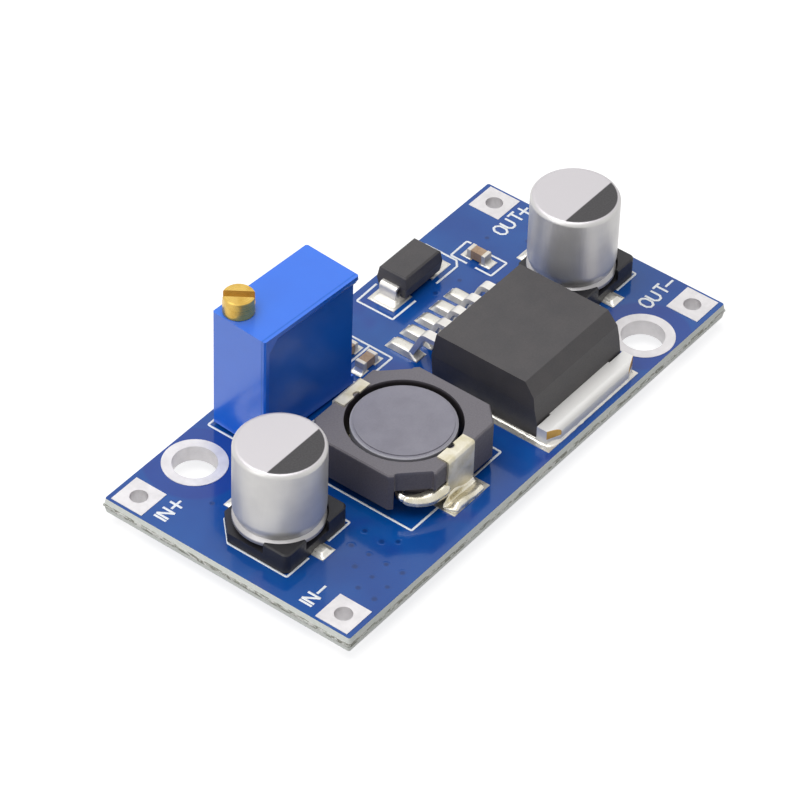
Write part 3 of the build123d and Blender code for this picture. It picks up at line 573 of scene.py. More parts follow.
def can_material(side):
    node = f"{side}_capacitor_can"
    material, tree, shader = start_material(f"{side}_can_aluminium", tone(216, 214, 213), 0.4, CAN_METALLIC)
    place = coordinates(tree, (*middle(node)[:2], box_mm(node)[1][2]))
    axes = split_axes(tree, place)
    on_top = remap(tree, axes["Z"], -0.12 * MM, -0.04 * MM)
    shaded_lip = remap(tree, axes["Z"], LIP_FROM * MM, LIP_TO * MM)
    past_chord = remap(tree, axes["Y"], CHORD_FROM * MM, CHORD_TO * MM)
    inside = remap(tree, from_axis(tree, place), SEGMENT_R * MM, SEGMENT_INNER_R * MM)
    printed = times(tree, past_chord, inside, on_top)
    drawn = speckle(tree, place, 0.12, stretch=(1, 1, 14))
    cloud = speckle(tree, place, 2.0, detail=2.0)
    wear_and_highlight = speckle(tree, place, 0.12, detail=4.0)
    skin = two_tone(tree, cloud, 0.35, 0.65, tone(221, 219, 217), tone(213, 211, 210))
    # From the lip down the skin is a darker grey: painted shade at the lip near the base.
    skin = blend(tree, shaded_lip, skin, tone(158, 156, 160))
    lid = blend(tree, on_top, skin, tone(210, 206, 209))
    ink = two_tone(tree, wear_and_highlight, 0.4, 0.7, tone(52, 50, 52), tone(66, 64, 66))
    metal = plus(tree, times(tree, on_top, TOP_METALLIC - CAN_METALLIC), CAN_METALLIC)
    feed(
        tree,
        shader,
        Base_Color=blend(tree, printed, lid, ink),
        Metallic=times(tree, metal, math_node(tree, "SUBTRACT", 1.0, printed)),
    )
    vary_roughness(tree, shader, drawn, 0.34, 0.44)
    bump(tree, shader, plus(tree, drawn, times(tree, cloud, 0.5)), 0.005)
    return material


for side in ("input", "output"):
    materials[f"{side}_can"] = can_material(side)
print("can materials ready")

# %% [markdown]
# ## Dress the CAD nodes
# A CAD node keeps its shape and gets its finish here.
# %% Assign materials to the CAD nodes
finishes = {
    "board": ["board"],
    "tin": ["mounting_rings", "terminal_eyelets"],
    "tab": ["regulator_tab"],
    "solder": ["solder_lands", "trimmer_solder"],
    "lead": [
        "regulator_leads",
        "diode_leads",
        "trimmer_pins",
        "input_capacitor_terminals",
        "output_capacitor_terminals",
    ],
    "cap_end": ["output_chip_ends", "divider_chip_ends", "filter_chip_ends"],
    "clip": ["inductor_front_clip", "inductor_rear_clip"],
    "case": ["trimmer_housing"],
    "potting": ["trimmer_plug"],
    "brass": ["trimmer_screw"],
    "rubber": ["trimmer_seal"],
    "rotor": ["trimmer_rotor"],
    "spring": ["trimmer_wiper"],
    "alumina": ["trimmer_element"],
    "ferrite": ["inductor_shield"],
    "drum": ["inductor_drum"],
    "winding": ["inductor_winding"],
    "compound": ["regulator_body", "diode_body"],
    "base": ["input_capacitor_base", "output_capacitor_base"],
    "chip": ["output_chip_body", "divider_chip_body", "filter_chip_body"],
    "input_can": ["input_capacitor_can"],
    "output_can": ["output_capacitor_can"],
}
for finish, names in finishes.items():
    for name in names:
        nodes[name].data.materials.clear()
        nodes[name].data.materials.append(materials[finish])
dressed = sum(len(names) for names in finishes.values())
print("dressed", dressed, "of", len(nodes), "CAD nodes")

# %% [markdown]
# ## Geometry Nodes, built in the script
# The white print is many short lines of one width. Drawing each as a mesh would be slow work, so a small
# node tree does it: it rounds the corners of a bare curve, sweeps a flat strip along it and gives it the ink.
# One helper starts a tree with named inputs, one ends it, and one applies it and keeps only a plain mesh.
# %% Helpers for Geometry Nodes


def start_tree(name, **inputs):
    """A Geometry Nodes tree with the named inputs between a geometry and a material. Returns them too."""
    tree = bpy.data.node_groups.new(name, "GeometryNodeTree")
    for label, kind in {"Geometry": "Geometry", **inputs, "Material": "Material"}.items():
        tree.interface.new_socket(label.replace("_", " "), in_out="INPUT", socket_type=f"NodeSocket{kind}")
    tree.interface.new_socket("Geometry", in_out="OUTPUT", socket_type="NodeSocketGeometry")
    return tree, tree.nodes.new("NodeGroupInput").outputs


def finish_tree(tree, given, geometry):
    """Ends a tree in Realize Instances and Set Material."""
    real = add(tree, "GeometryNodeRealizeInstances", Geometry=geometry).outputs[0]
    inked = add(tree, "GeometryNodeSetMaterial", Geometry=real, Material=given["Material"]).outputs[0]
    add(tree, "NodeGroupOutput", i0=inked)
    return tree


def grow(name, source, tree, **values):
    """Runs a tree on an object, keeps the result as a plain mesh, and removes the source."""
    modifier = source.modifiers.new("grow", "NODES")
    modifier.node_group = tree
    for item in tree.interface.items_tree:
        key = item.name.replace(" ", "_")
        if item.in_out == "INPUT" and key in values:
            modifier[item.identifier] = values[key]
    bpy.context.view_layer.update()
    graph = bpy.context.evaluated_depsgraph_get()
    mesh = bpy.data.meshes.new_from_object(source.evaluated_get(graph))
    mesh.name = name
    piece = link_object(name, mesh)
    bpy.data.objects.remove(source)
    print(name, len(mesh.polygons), "faces")
    return piece


def curve_of(name, runs):
    """A bare curve with a straight-sided spline for each run of (x, y, z) or (x, y, z, radius) in mm."""
    curve = bpy.data.curves.new(name, "CURVE")
    curve.dimensions = "3D"
    for run in runs:
        closed = run[0] == run[-1]
        points = run[:-1] if closed else run
        spline = curve.splines.new("POLY")
        spline.points.add(len(points) - 1)
        for point, (x, y, z, *radius) in zip(spline.points, points):
            point.co = (x * MM, y * MM, z * MM, 1)
            if radius:
                point.radius = radius[0] * MM
        spline.use_cyclic_u = closed
    return link_object(name, curve)


HAIR = 0.0015


def at_height(runs, height):
    """Flat runs laid at a height. Neighbours differ by a hair, so that crossing strokes share no face."""
    return [[(x, y, height + HAIR * (number % 3)) for x, y in run] for number, run in enumerate(runs)]


def line_tree():
    """Sweeps a flat strip along every spline, with rounded corners."""
    tree, given = start_tree("printed_lines", Width="Float", Thickness="Float", Corner="Float")
    rounded = add(
        tree,
        "GeometryNodeFilletCurve",
        {"mode": "POLY"},
        Curve=given["Geometry"],
        Count=4,
        Radius=given["Corner"],
        Limit_Radius=True,
    ).outputs[0]
    upright = add(tree, "GeometryNodeSetCurveNormal", {"mode": "Z_UP"}, Curve=rounded).outputs[0]
    sides = {"Width": given["Width"], "Height": given["Thickness"]}
    strip = add(tree, "GeometryNodeCurvePrimitiveQuadrilateral", **sides).outputs[0]
    swept = add(tree, "GeometryNodeCurveToMesh", Curve=upright, Profile_Curve=strip, Fill_Caps=True)
    return finish_tree(tree, given, swept.outputs[0])


print("tree helpers ready")

# %% [markdown]
# ## White print
# The print on a board is white ink, pressed through a screen. Its outlines show where each part goes, and its
# letters name the terminals. Both are drawn here as strokes: letters on circuit boards are single-stroke
# letters, so the same tree that draws the outlines also draws them.
# %% Ink


def ink_material():
    material, tree, shader = start_material("white_ink", tone(246, 249, 252), 0.5)
    dots = speckle(tree, coordinates(tree), 0.12, detail=4.0)
    feed(tree, shader, Base_Color=two_tone(tree, dots, 0.55, 0.75, tone(248, 251, 254), tone(222, 229, 242)))
    bump(tree, shader, dots, 0.006)
    return material


materials["ink"] = ink_material()
INK_THICK = 0.02
OUTLINE_WIDTH, LETTER_WIDTH = 0.17, 0.185
CORNER = 0.1
print("ink", INK_THICK, "mm thick")

# %% Print: outlines


def can_outline(side, half=3.38, cut=1.7, gap=1.05):
    """The square with two cut corners under a can, open where its terminals come out."""
    x, y, _ = middle(f"{side}_capacitor_can")
    return [
        [
            (x + way * gap, y + half),
            (x + way * (half - cut), y + half),
            (x + way * half, y + half - cut),
            (x + way * half, y - half),
            (x + way * gap, y - half),
        ]
        for way in (-1, 1)
    ]


part_outlines = {
    "input can": can_outline("input"),
    "output can": can_outline("output"),
    "diode": [
        [(7.5, 9.95), (5.17, 9.9), (5.2, 6.7), (7.83, 6.68)],
        [(10.4, 9.95), (13.2, 9.95), (13.2, 7.1), (12.69, 6.65), (10.27, 6.68)],
    ],
    "output chip": [
        [(15.4, 7.41), (15.36, 7.79), (13.4, 7.76), (13.42, 6.31)],
        [(15.24, 5.53), (15.26, 4.1), (13.42, 4.14), (13.42, 5.57)],
    ],
    "divider and filter chips": [
        [(-1.4, 7.99), (1.96, 7.99), (1.95, 4.22), (-1.4, 4.24)],
        [(1.96, 6.22), (-1.4, 6.22)],
    ],
    "coil": [
        [(-7.9, -7.48), (-10.95, -7.48), (-10.95, 1.75), (-7.9, 1.75)],
        [(-4.2, 1.75), (-0.92, 1.75), (-0.92, -7.48), (-4.2, -7.48)],
    ],
    "trimmer": [[(-11.55, 9.79), (-11.55, 4.4), (-1.75, 4.4), (-1.75, 9.79), (-11.55, 9.79)]],
}
outlines = [run for runs in part_outlines.values() for run in runs]
print("outlines round:", ", ".join(part_outlines))

# %% Print: letters
TALL = 1.05
strokes = {
    "I": [[(0, 0), (0, TALL)]],
    "N": [[(0, 0), (0, TALL)], [(0, TALL), (0.68, 0)], [(0.68, 0), (0.68, TALL)]],
    "O": [
        [(0.22, 0), (0, 0.26), (0, 0.79), (0.22, TALL), (0.5, TALL)]
        + [(0.72, 0.79), (0.72, 0.26), (0.5, 0), (0.22, 0)]
    ],
    "U": [[(0, TALL), (0, 0.24), (0.19, 0), (0.5, 0), (0.69, 0.24), (0.69, TALL)]],
    "T": [[(0.4, 0), (0.4, TALL)], [(0, TALL), (0.75, TALL)]],
    "+": [[(0, 0.5), (1.0, 0.5)], [(0.5, 0), (0.5, 1.03)]],
    "-": [[(0, 0.47), (0.93, 0.47)]],
}
advance = {"I": 0.25, "N": 0.91, "O": 0.93, "U": 0.97, "T": 0.76, "+": 0, "-": 0}


def word(text, start):
    """A word's strokes, from the foot of its first letter."""
    runs, across = [], start[0]
    for letter in text:
        runs += [[(x + across, y + start[1]) for x, y in run] for run in strokes[letter]]
        across += advance[letter]
    return runs


words = [
    *word("IN+", (-20.73, 5.88)),
    *word("IN-", (-20.83, -6.77)),
    *word("OUT+", (17.55, 6.13)),
    *word("OUT-", (17.77, -6.71)),
]
for name, runs, width in (
    ("printed_outlines", outlines, OUTLINE_WIDTH),
    ("printed_letters", words, LETTER_WIDTH),
):
    piece = grow(
        name,
        curve_of(name, at_height(runs, BOARD_TOP + INK_THICK / 2)),
        line_tree(),
        Width=width * MM,
        Thickness=INK_THICK * MM,
        Corner=CORNER * MM,
        Material=materials["ink"],
    )
    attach(piece, "board")

# %% [markdown]
# ## Solder joints
# Solder wets the pad and climbs the metal that stands on it, so a joint is a skirt that is steep at the part
# and flat at the pad's rim. Each one is built as rings between two rounded outlines: the part's foot, high
# up, and the pad's edge, low down. A little noise keeps any two from being alike.
# %% Helpers for solid pieces


def band(first, second, count):
    """Faces between two rings of points, given by the number of each ring's first point."""
    return [
        (first + i, first + (i + 1) % count, second + (i + 1) % count, second + i) for i in range(count)
    ]


def loft(rings):
    """A closed skin over rings with the same number of points each, its two ends capped."""
    count, last = len(rings[0]), len(rings) - 1
    verts = [tuple(point) for ring in rings for point in ring]
    faces = [face for a in range(last) for face in band(a * count, (a + 1) * count, count)]
    faces.append(tuple(reversed(range(count))))
    faces.append(tuple(last * count + i for i in range(count)))
    return verts, faces


def solid_piece(name, parts, material):
    """Joins lists of vertices (mm) and faces into one smooth piece that rides on the board."""
    verts, faces = [], []
    for part_verts, part_faces in parts:
        start = len(verts)
        verts += [tuple(c * MM for c in v) for v in part_verts]
        faces += [tuple(start + i for i in face) for face in part_faces]
    mesh = bpy.data.meshes.new(name)
    mesh.from_pydata(verts, [], faces)
    mesh.materials.append(material)
    mesh.shade_smooth()
    piece = link_object(name, mesh)
    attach(piece, "board")
    print(name, len(faces), "faces")


print("solid helpers ready")

# %% One joint
RING_POINTS, SKIRT_RINGS = 48, 9
CROWN_SHRINKS = (0.8, 0.55, 0.28)
RIPPLE, RIPPLE_TURNS = 0.02, 1.3
OVER_LAND, INTO_LAND = 0.004, 0.03


def rounded_ring(centre, half, squareness):
    """Points round a rounded rectangle."""
    angles = np.linspace(0, 2 * math.pi, RING_POINTS, endpoint=False)
    sides = [np.sign(wave) * np.abs(wave) ** (2 / squareness) for wave in (np.cos(angles), np.sin(angles))]
    return np.stack([centre[0] + half[0] * sides[0], centre[1] + half[1] * sides[1]], axis=1)


def solder_skirt(foot, pad, climb, power=2.0, dome=0.02, seed=0.0):
    """Vertices and faces of one joint: foot and pad are (centre, half sizes), climb is its height in mm."""
    inner, outer = rounded_ring(*foot, squareness=6.0), rounded_ring(*pad, squareness=9.0)
    floor_z = LAND_TOP + OVER_LAND
    verts, faces = [], []
    for ring in range(SKIRT_RINGS + 1):
        share = ring / SKIRT_RINGS
        swell = RIPPLE * math.sin(math.pi * share)
        for x, y in outer * (1 - share) + inner * share:
            spot = Vector((x * RIPPLE_TURNS + seed, y * RIPPLE_TURNS, seed))
            verts.append((x, y, floor_z + climb * share**power + noise.noise(spot) * swell))
        if ring:
            faces += band((ring - 1) * RING_POINTS, ring * RING_POINTS, RING_POINTS)
    centre = inner.mean(axis=0)
    last = SKIRT_RINGS * RING_POINTS
    for shrink in CROWN_SHRINKS:
        rise = climb + dome * (1 - shrink**2)
        verts += [(*(centre + (point - centre) * shrink), floor_z + rise) for point in inner]
        faces += band(last, last + RING_POINTS, RING_POINTS)
        last += RING_POINTS
    crown = len(verts)
    verts.append((*centre, floor_z + climb + dome))
    faces += [(last + i, last + (i + 1) % RING_POINTS, crown) for i in range(RING_POINTS)]
    base = len(verts)
    verts += [(x, y, LAND_TOP - INTO_LAND) for x, y in outer]
    faces += band(base, 0, RING_POINTS)
    faces.append(tuple(base + i for i in reversed(range(RING_POINTS))))
    return verts, faces


print("a joint has", SKIRT_RINGS + 1, "rings of", RING_POINTS, "points")

# %% Joints at the regulator's leads
LEAD_COUNT, LEAD_PITCH = 5, 1.7
LEAD_FOOT_Y, LEAD_PAD_Y = 4.12, 4.0
LEAD_FOOT, LEAD_PAD = (0.44, 0.94), (0.57, 1.42)
joints = []
for number in range(LEAD_COUNT):
    x = middle("regulator_body")[0] + (number - LEAD_COUNT // 2) * LEAD_PITCH
    foot, pad = ((x, LEAD_FOOT_Y), LEAD_FOOT), ((x, LEAD_PAD_Y), LEAD_PAD)
    joints.append(solder_skirt(foot, pad, 0.405, power=1.2, dome=0.06, seed=number))
solid_piece("lead_solder", joints, materials["solder"])

# %% Joints at the cans
CAN_PAD_Y = 3.55
CAN_FOOT, CAN_PAD = (0.34, 0.42), (0.67, 0.74)
joints = []
for side in ("input", "output"):
    x, y, _ = middle(f"{side}_capacitor_base")
    for way in (-1, 1):
        spot = (x, y + way * CAN_PAD_Y)
        joints.append(solder_skirt((spot, CAN_FOOT), (spot, CAN_PAD), 0.19, seed=x + way))
solid_piece("can_solder", joints, materials["solder"])

# %% Joints at the diode and the chips
END_CLIMB, END_POWER = 0.5, 2.6
DIODE_FOOT_X, DIODE_PAD_X = 2.0, 2.28
DIODE_FOOT, DIODE_PAD = (0.42, 0.66), (1.07, 1.14)
CHIP_FOOT_X, CHIP_PAD_X = 0.56, 0.86
CHIP_FOOT, CHIP_PAD = (0.1, 0.34), (0.43, 0.47)


def end_joint(node, way, places, halves, seed, along_y=False):
    """The joint at one end of a part, from the places of foot and pad along it and their half sizes."""
    x, y, _ = middle(node)
    pairs = []
    for place, half in zip(places, halves):
        shift = (0, way * place) if along_y else (way * place, 0)
        pairs.append(((x + shift[0], y + shift[1]), half[::-1] if along_y else half))
    return solder_skirt(*pairs, END_CLIMB, power=END_POWER, seed=seed)


diode = ((DIODE_FOOT_X, DIODE_PAD_X), (DIODE_FOOT, DIODE_PAD))
joints = [end_joint("diode_body", way, *diode, seed=way + 5) for way in (-1, 1)]
solid_piece("diode_solder", joints, materials["solder"])

chip = ((CHIP_FOOT_X, CHIP_PAD_X), (CHIP_FOOT, CHIP_PAD))
joints = [
    end_joint(node, way, *chip, seed=middle(node)[0] + way, along_y=node.startswith("output"))
    for node in ("output_chip_body", "divider_chip_body", "filter_chip_body")
    for way in (-1, 1)
]
solid_piece("chip_solder", joints, materials["solder"])

# %% [markdown]
# The coil's clip stands on a wide foot. The solder there has three parts: it climbs the clip's wall in a thin
# film, dips to a valley, and rises again in a bead over the foot's end. One cross-section holds all three,
# and is laid along the foot, with its size falling away at both ends.
# %% Joints at the coil's clips
BEAD_TURNS = 2.1


def bead_along(stations, profile, floor_z, lump, seed=0.0):
    """A bead laid along stations, each (x, y, outward x, outward y, width, height).

    The profile is a loop of (share of width, share of height) pairs. Shares of height below nought go down
    from floor_z in millimetres, so that the bead reaches into what it lies on."""
    rings = []
    for x, y, out_x, out_y, width, height in stations:
        ring = []
        for across, up in profile:
            spot = Vector((x * BEAD_TURNS + seed, y * BEAD_TURNS, across + up))
            swell = 1 + lump * noise.noise(spot)
            reach = across * width * (swell if across > 0 else 1)
            rise = up * height * swell if up > 0 else up
            ring.append((x + out_x * reach, y + out_y * reach, floor_z + rise))
        rings.append(ring)
    return loft(rings)


def across_coil(points):
    """The same points at the opposite side of the coil."""
    return [(2 * coil_axis[0] - x, 2 * coil_axis[1] - y, *rest) for x, y, *rest in points]


CLIP_WALL_Y = -7.87
FOOT_THICK = 0.15
FOOT_START, FOOT_END, FOOT_STATIONS = -7.99, -4.42, 44
TAPER = 0.35
WALL_CLIMB, CLIMB_FALL = 1.02, 0.2
CLIMB_WAVE, WAVE_TURNS = 0.12, 2.6
LOW_RUN, LOW_SHARE = 0.3, 0.42
film = [
    (0.0, 1.0), (0.04, 0.62), (0.1, 0.36), (0.17, 0.22), (0.24, 0.19), (0.31, 0.27), (0.4, 0.38),
    (0.5, 0.46), (0.62, 0.5), (0.74, 0.5), (0.85, 0.45), (0.94, 0.35), (1.0, 0.2), (1.03, 0.04),
    (1.03, -FOOT_THICK), (-0.08, -FOOT_THICK), (-0.08, 0.97),
]


def foot_bead(x):
    """Width and height of the bead at one place along the foot. It stays low beside the wire's end."""
    along = x - FOOT_START
    near_end = min(1.0, along / TAPER, (FOOT_END - x) / TAPER)
    width = math.sqrt(max(0.02, 1 - (1 - near_end) ** 2))
    climb = WALL_CLIMB - CLIMB_FALL * along + CLIMB_WAVE * math.sin(WAVE_TURNS * x)
    climb *= min(1.0, LOW_SHARE + (1 - LOW_SHARE) * max(0.0, (along - LOW_RUN) / TAPER))
    return width, climb * width


foot_line = np.linspace(FOOT_START, FOOT_END, FOOT_STATIONS)
stations = [(x, CLIP_WALL_Y, 0, -1, *foot_bead(x)) for x in foot_line]
verts, faces = bead_along(stations, film, LAND_TOP + FOOT_THICK, lump=0.02)
both_joints = [(verts, faces), (across_coil(verts), faces)]
solid_piece("coil_solder", both_joints, materials["dip"])

# %% [markdown]
# The ends of the coil's wire were dipped in solder before the clip was closed on them, so each wears a fat
# lumpy coat. It follows the wire, so it is made by Geometry Nodes: a curve with a radius at every point is
# smoothed, a circle is swept along it at that radius, and the skin is pushed about by a little noise.
# %% Solder coats on the coil's wire ends


def coat_tree():
    tree, given = start_tree("wire_coat", Points="Int", Lump="Float", Lump_Size="Float")
    spline = {"spline_type": "CATMULL_ROM"}
    smooth = add(tree, "GeometryNodeCurveSplineType", spline, Curve=given["Geometry"]).outputs[0]
    even = add(tree, "GeometryNodeResampleCurve", Curve=smooth, Count=given["Points"]).outputs[0]
    circle = add(tree, "GeometryNodeCurvePrimitiveCircle", Resolution=20, Radius=1.0).outputs[0]
    radius = add(tree, "GeometryNodeInputRadius").outputs[0]
    sweep = {"Curve": even, "Profile_Curve": circle, "Scale": radius, "Fill_Caps": True}
    skin = add(tree, "GeometryNodeCurveToMesh", **sweep).outputs[0]
    place = add(tree, "GeometryNodeInputPosition").outputs[0]
    scale = math_node(tree, "DIVIDE", 1.0, given["Lump Size"])
    wander = add(tree, "ShaderNodeTexNoise", Vector=place, Scale=scale, Detail=1.0).outputs["Color"]
    centred = vector_node(tree, "SUBTRACT", wander, i1=(0.5,) * 3)
    push = vector_node(tree, "SCALE", centred, Scale=given["Lump"])
    lumpy = add(tree, "GeometryNodeSetPosition", Geometry=skin, Offset=push).outputs[0]
    soft = add(tree, "GeometryNodeSetShadeSmooth", Geometry=lumpy).outputs[0]
    return finish_tree(tree, given, soft)


coat_path = [
    (-10.24, -6.04, 2.74, 0.1),
    (-10.12, -6.18, 2.7, 0.32),
    (-9.75, -6.55, 2.55, 0.43),
    (-9.2, -6.97, 2.46, 0.49),
    (-8.6, -7.28, 2.48, 0.53),
    (-8.0, -7.48, 2.58, 0.55),
    (-7.58, -7.54, 2.68, 0.55),
    (-7.38, -7.54, 2.72, 0.44),
]
coats = grow(
    "wire_coats",
    curve_of("wire_coats", [coat_path, across_coil(coat_path)]),
    coat_tree(),
    Points=36,
    Lump=0.1 * MM,
    Lump_Size=0.9 * MM,
    Material=materials["dip"],
)
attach(coats, "board")

# %% [markdown]
# The tab sinks into a thin lake of solder, which shows as a narrow fillet round its edge: wide at the left,
# where the land sticks out, and a mere line along the front, where the land ends. It is laid round the tab's
# outline like the bead above, between places where its width and height were chosen.
# %% Joint round the tab
fillet = [
    (-0.3, 1.0), (0.0, 1.0), (0.16, 0.62), (0.34, 0.34), (0.6, 0.14), (0.85, 0.06), (1.0, -0.01),
    (1.0, -0.05), (-0.3, -0.05),
]
STATION_STEP = 0.15
left_x, right_x = tab_low[0] + TAB_SIDE, tab_high[0] - TAB_SIDE
tab_places = [
    (left_x, -1.3, -1, 0, 0.12, 0.06),
    (left_x, -4.0, -1, 0, 0.16, 0.09),
    (left_x, -7.0, -1, 0, 0.12, 0.06),
    (left_x, -9.2, -1, 0, 0.24, 0.18),
    (left_x + 0.1, -9.58, -0.9, -0.42, 0.32, 0.3),
    (left_x + 0.55, -9.78, -0.45, -0.9, 0.26, 0.28),
    (left_x + 1.0, tab_low[1], -0.12, -1, 0.12, 0.2),
    (TAB_X - 1.5, tab_low[1], 0, -1, 0.1, 0.12),
    (TAB_X + 2.0, tab_low[1], 0, -1, 0.1, 0.14),
    (right_x - 1.0, tab_low[1], 0, -1, 0.1, 0.16),
    (right_x - 0.6, -9.82, 0.4, -0.92, 0.18, 0.24),
    (right_x - 0.1, -9.62, 0.7, -0.7, 0.16, 0.2),
]
stations = []
for first, second in zip(map(np.array, tab_places), map(np.array, tab_places[1:])):
    steps = max(2, round(math.dist(first[:2], second[:2]) / STATION_STEP))
    for step in range(steps):
        x, y, out_x, out_y, width, height = first + (second - first) * (step / steps)
        size = math.hypot(out_x, out_y)
        stations.append((x, y, out_x / size, out_y / size, width, height))
tab_joint = bead_along(stations, fillet, LAND_TOP, lump=0.5, seed=3)
solid_piece("tab_solder", [tab_joint], materials["solder"])

# %% [markdown]
# ## The trimmer's lip
# The sunk panel in the trimmer's front face meets the lip over it in a soft slope, as a mould needs. The
# slope is one cross-section with a concave front, laid along the lip in the trimmer's own directions and
# then turned with it.
# %% Slope under the trimmer's lip
LIP_TALL, LIP_START, LIP_END = 0.32, -4.3, 4.74
LIP_BOTTOM = case_high[2] - LIP_TALL
LIP_STATIONS = 24
slope_section = [
    (0.03, 0.01), (0.05, -0.07), (0.11, -0.17), (0.18, -0.3), (0.25, -0.48), (0.32, -0.48), (0.32, 0.01),
]


def turned_with_case(along, across):
    """A place in the trimmer's own directions, as a place on the board."""
    cos, sin = math.cos(CASE_TURN), math.sin(CASE_TURN)
    return case_centre[0] + along * cos - across * sin, case_centre[1] + along * sin + across * cos


slope_rings = [
    [(*turned_with_case(along, CASE_FRONT + depth), LIP_BOTTOM + up) for depth, up in slope_section]
    for along in np.linspace(LIP_START, LIP_END, LIP_STATIONS)
]
solid_piece("trimmer_lip_slope", [loft(slope_rings)], materials["case"])

# %% [markdown]
# ## Vias under the mask
# A via is a plated hole that joins the two faces. The mask sags into it, so each shows as a dimple with a
# faint rim. One small dished ring is made once, and Geometry Nodes sets a copy on every point of a bare mesh,
# each scaled a little by a seeded random value. The underside has the same vias: its set is made face up on
# mirrored points and then turned over about the X axis.
# %% Vias
VIA_POINTS = 16
VIA_LIFT = 0.002
HOLLOW_R = 0.3


def via_shape():
    """A dished ring about 0.7 mm across. Its attribute falls from the middle to nought at HOLLOW_R."""
    profile = [(0.36, -0.004), (0.31, 0.002), (0.25, 0.006), (0.18, 0.005), (0.1, 0.003), (0.04, 0.0025)]
    mesh = bpy.data.meshes.new("via_shape")
    angles = np.linspace(0, 2 * math.pi, VIA_POINTS, endpoint=False)
    verts = [(r * math.cos(a) * MM, r * math.sin(a) * MM, z * MM) for r, z in profile for a in angles]
    last = len(profile) - 1
    faces = [f for k in range(last) for f in band(k * VIA_POINTS, (k + 1) * VIA_POINTS, VIA_POINTS)]
    faces.append(tuple(last * VIA_POINTS + i for i in range(VIA_POINTS)))
    mesh.from_pydata(verts, [], faces)
    hollow = mesh.attributes.new("hollow", "FLOAT", "POINT")
    for number, point in enumerate(hollow.data):
        point.value = max(0.0, 1 - profile[number // VIA_POINTS][0] / HOLLOW_R)
    mesh.shade_smooth()
    return link_object("via_shape", mesh)


def via_tree():
    tree, given = start_tree("scatter_vias", Shape="Object", Seed="Int")
    shape = add(tree, "GeometryNodeObjectInfo", Object=given["Shape"]).outputs["Geometry"]
    random = {"i2": 0.85, "i3": 1.1, "Seed": given["Seed"]}
    size = add(tree, "FunctionNodeRandomValue", {"data_type": "FLOAT"}, **random).outputs[1]
    points = add(tree, "GeometryNodeMeshToPoints", Mesh=given["Geometry"]).outputs[0]
    copies = add(tree, "GeometryNodeInstanceOnPoints", Points=points, Instance=shape, Scale=size)
    return finish_tree(tree, given, copies.outputs[0])


def via_material():
    material, tree, shader = start_material("via_mask", tone(14, 56, 140), 0.16, Coat_Weight=0.2)
    place = coordinates(tree)
    hollow = add(tree, "ShaderNodeAttribute", {"attribute_name": "hollow"}).outputs["Fac"]
    depth = remap(tree, hollow, 0.05, 0.7, kind="SMOOTHSTEP")
    feed(tree, shader, Base_Color=blend(tree, depth, mask_colour(tree, place), tone(0, 54, 122)))
    bump(tree, shader, speckle(tree, place, 0.1), 0.003)
    return material


via_places = [
    (-14.62, -5.21), (-14.58, -6.67), (-16.07, -6.64), (-14.58, -8.14), (-14.54, -9.48),
    (-16.12, -8.14), (-16.23, -9.52), (-17.51, -8.05), (-17.66, -9.54), (-13.05, -6.57),
    (-12.95, -5.05), (-12.36, -7.42), (9.4, 6.1), (11.6, 5.6), (13.1, 3.3), (11.9, 2.4),
    (16.6, 6.9), (18.2, 4.4), (12.5, -3.8), (13.2, -5.0), (12.4, -2.4), (-17.4, 4.6),
]
materials["via"] = via_material()
shape = via_shape()
for name, way, level in (("vias", 1, BOARD_TOP + VIA_LIFT), ("vias_underside", -1, VIA_LIFT)):
    points = bpy.data.meshes.new(name)
    points.from_pydata([(x * MM, way * y * MM, level * MM) for x, y in via_places], [], [])
    settings = {"Shape": shape, "Seed": 4, "Material": materials["via"]}
    vias = grow(name, link_object(name, points), via_tree(), **settings)
    if way < 0:
        vias.data.transform(Matrix.Rotation(math.pi, 4, "X"))
    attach(vias, "board")
bpy.data.objects.remove(shape)

# %% [markdown]
# ## Torn fibres along the rim
# Where the panel was snapped, ends of glass fibre stick out of the torn strip between the two grooves. A
# curve round the board is cut into short steps, each step is nudged and thickened at random, and a small
# profile is swept along it. All of it stays within a few hundredths of a millimetre.
# %% Torn rim
RIM_INSET = 0.015


def torn_tree():
    sizes = {"Step": "Float", "Nudge": "Float", "Width": "Float", "Height": "Float"}
    tree, given = start_tree("torn_rim", **sizes, Seed="Int")
    steps = {"Curve": given["Geometry"], "Length": given["Step"]}
    even = add(tree, "GeometryNodeResampleCurve", {"mode": "LENGTH"}, **steps).outputs[0]
    upright = add(tree, "GeometryNodeSetCurveNormal", {"mode": "Z_UP"}, Curve=even).outputs[0]
    anywhere = {"i0": (-1, -1, -1), "i1": (1, 1, 1), "Seed": given["Seed"]}
    nudge = add(tree, "FunctionNodeRandomValue", {"data_type": "FLOAT_VECTOR"}, **anywhere).outputs[0]
    push = vector_node(tree, "SCALE", nudge, Scale=given["Nudge"])
    moved = add(tree, "GeometryNodeSetPosition", Geometry=upright, Offset=push).outputs[0]
    random = {"i2": 0.25, "i3": 1.0, "Seed": given["Seed"]}
    size = add(tree, "FunctionNodeRandomValue", {"data_type": "FLOAT"}, **random).outputs[1]
    sides = {"Width": given["Width"], "Height": given["Height"]}
    strip = add(tree, "GeometryNodeCurvePrimitiveQuadrilateral", **sides).outputs[0]
    swept = add(tree, "GeometryNodeCurveToMesh", Curve=moved, Profile_Curve=strip, Scale=size)
    return finish_tree(tree, given, swept.outputs[0])


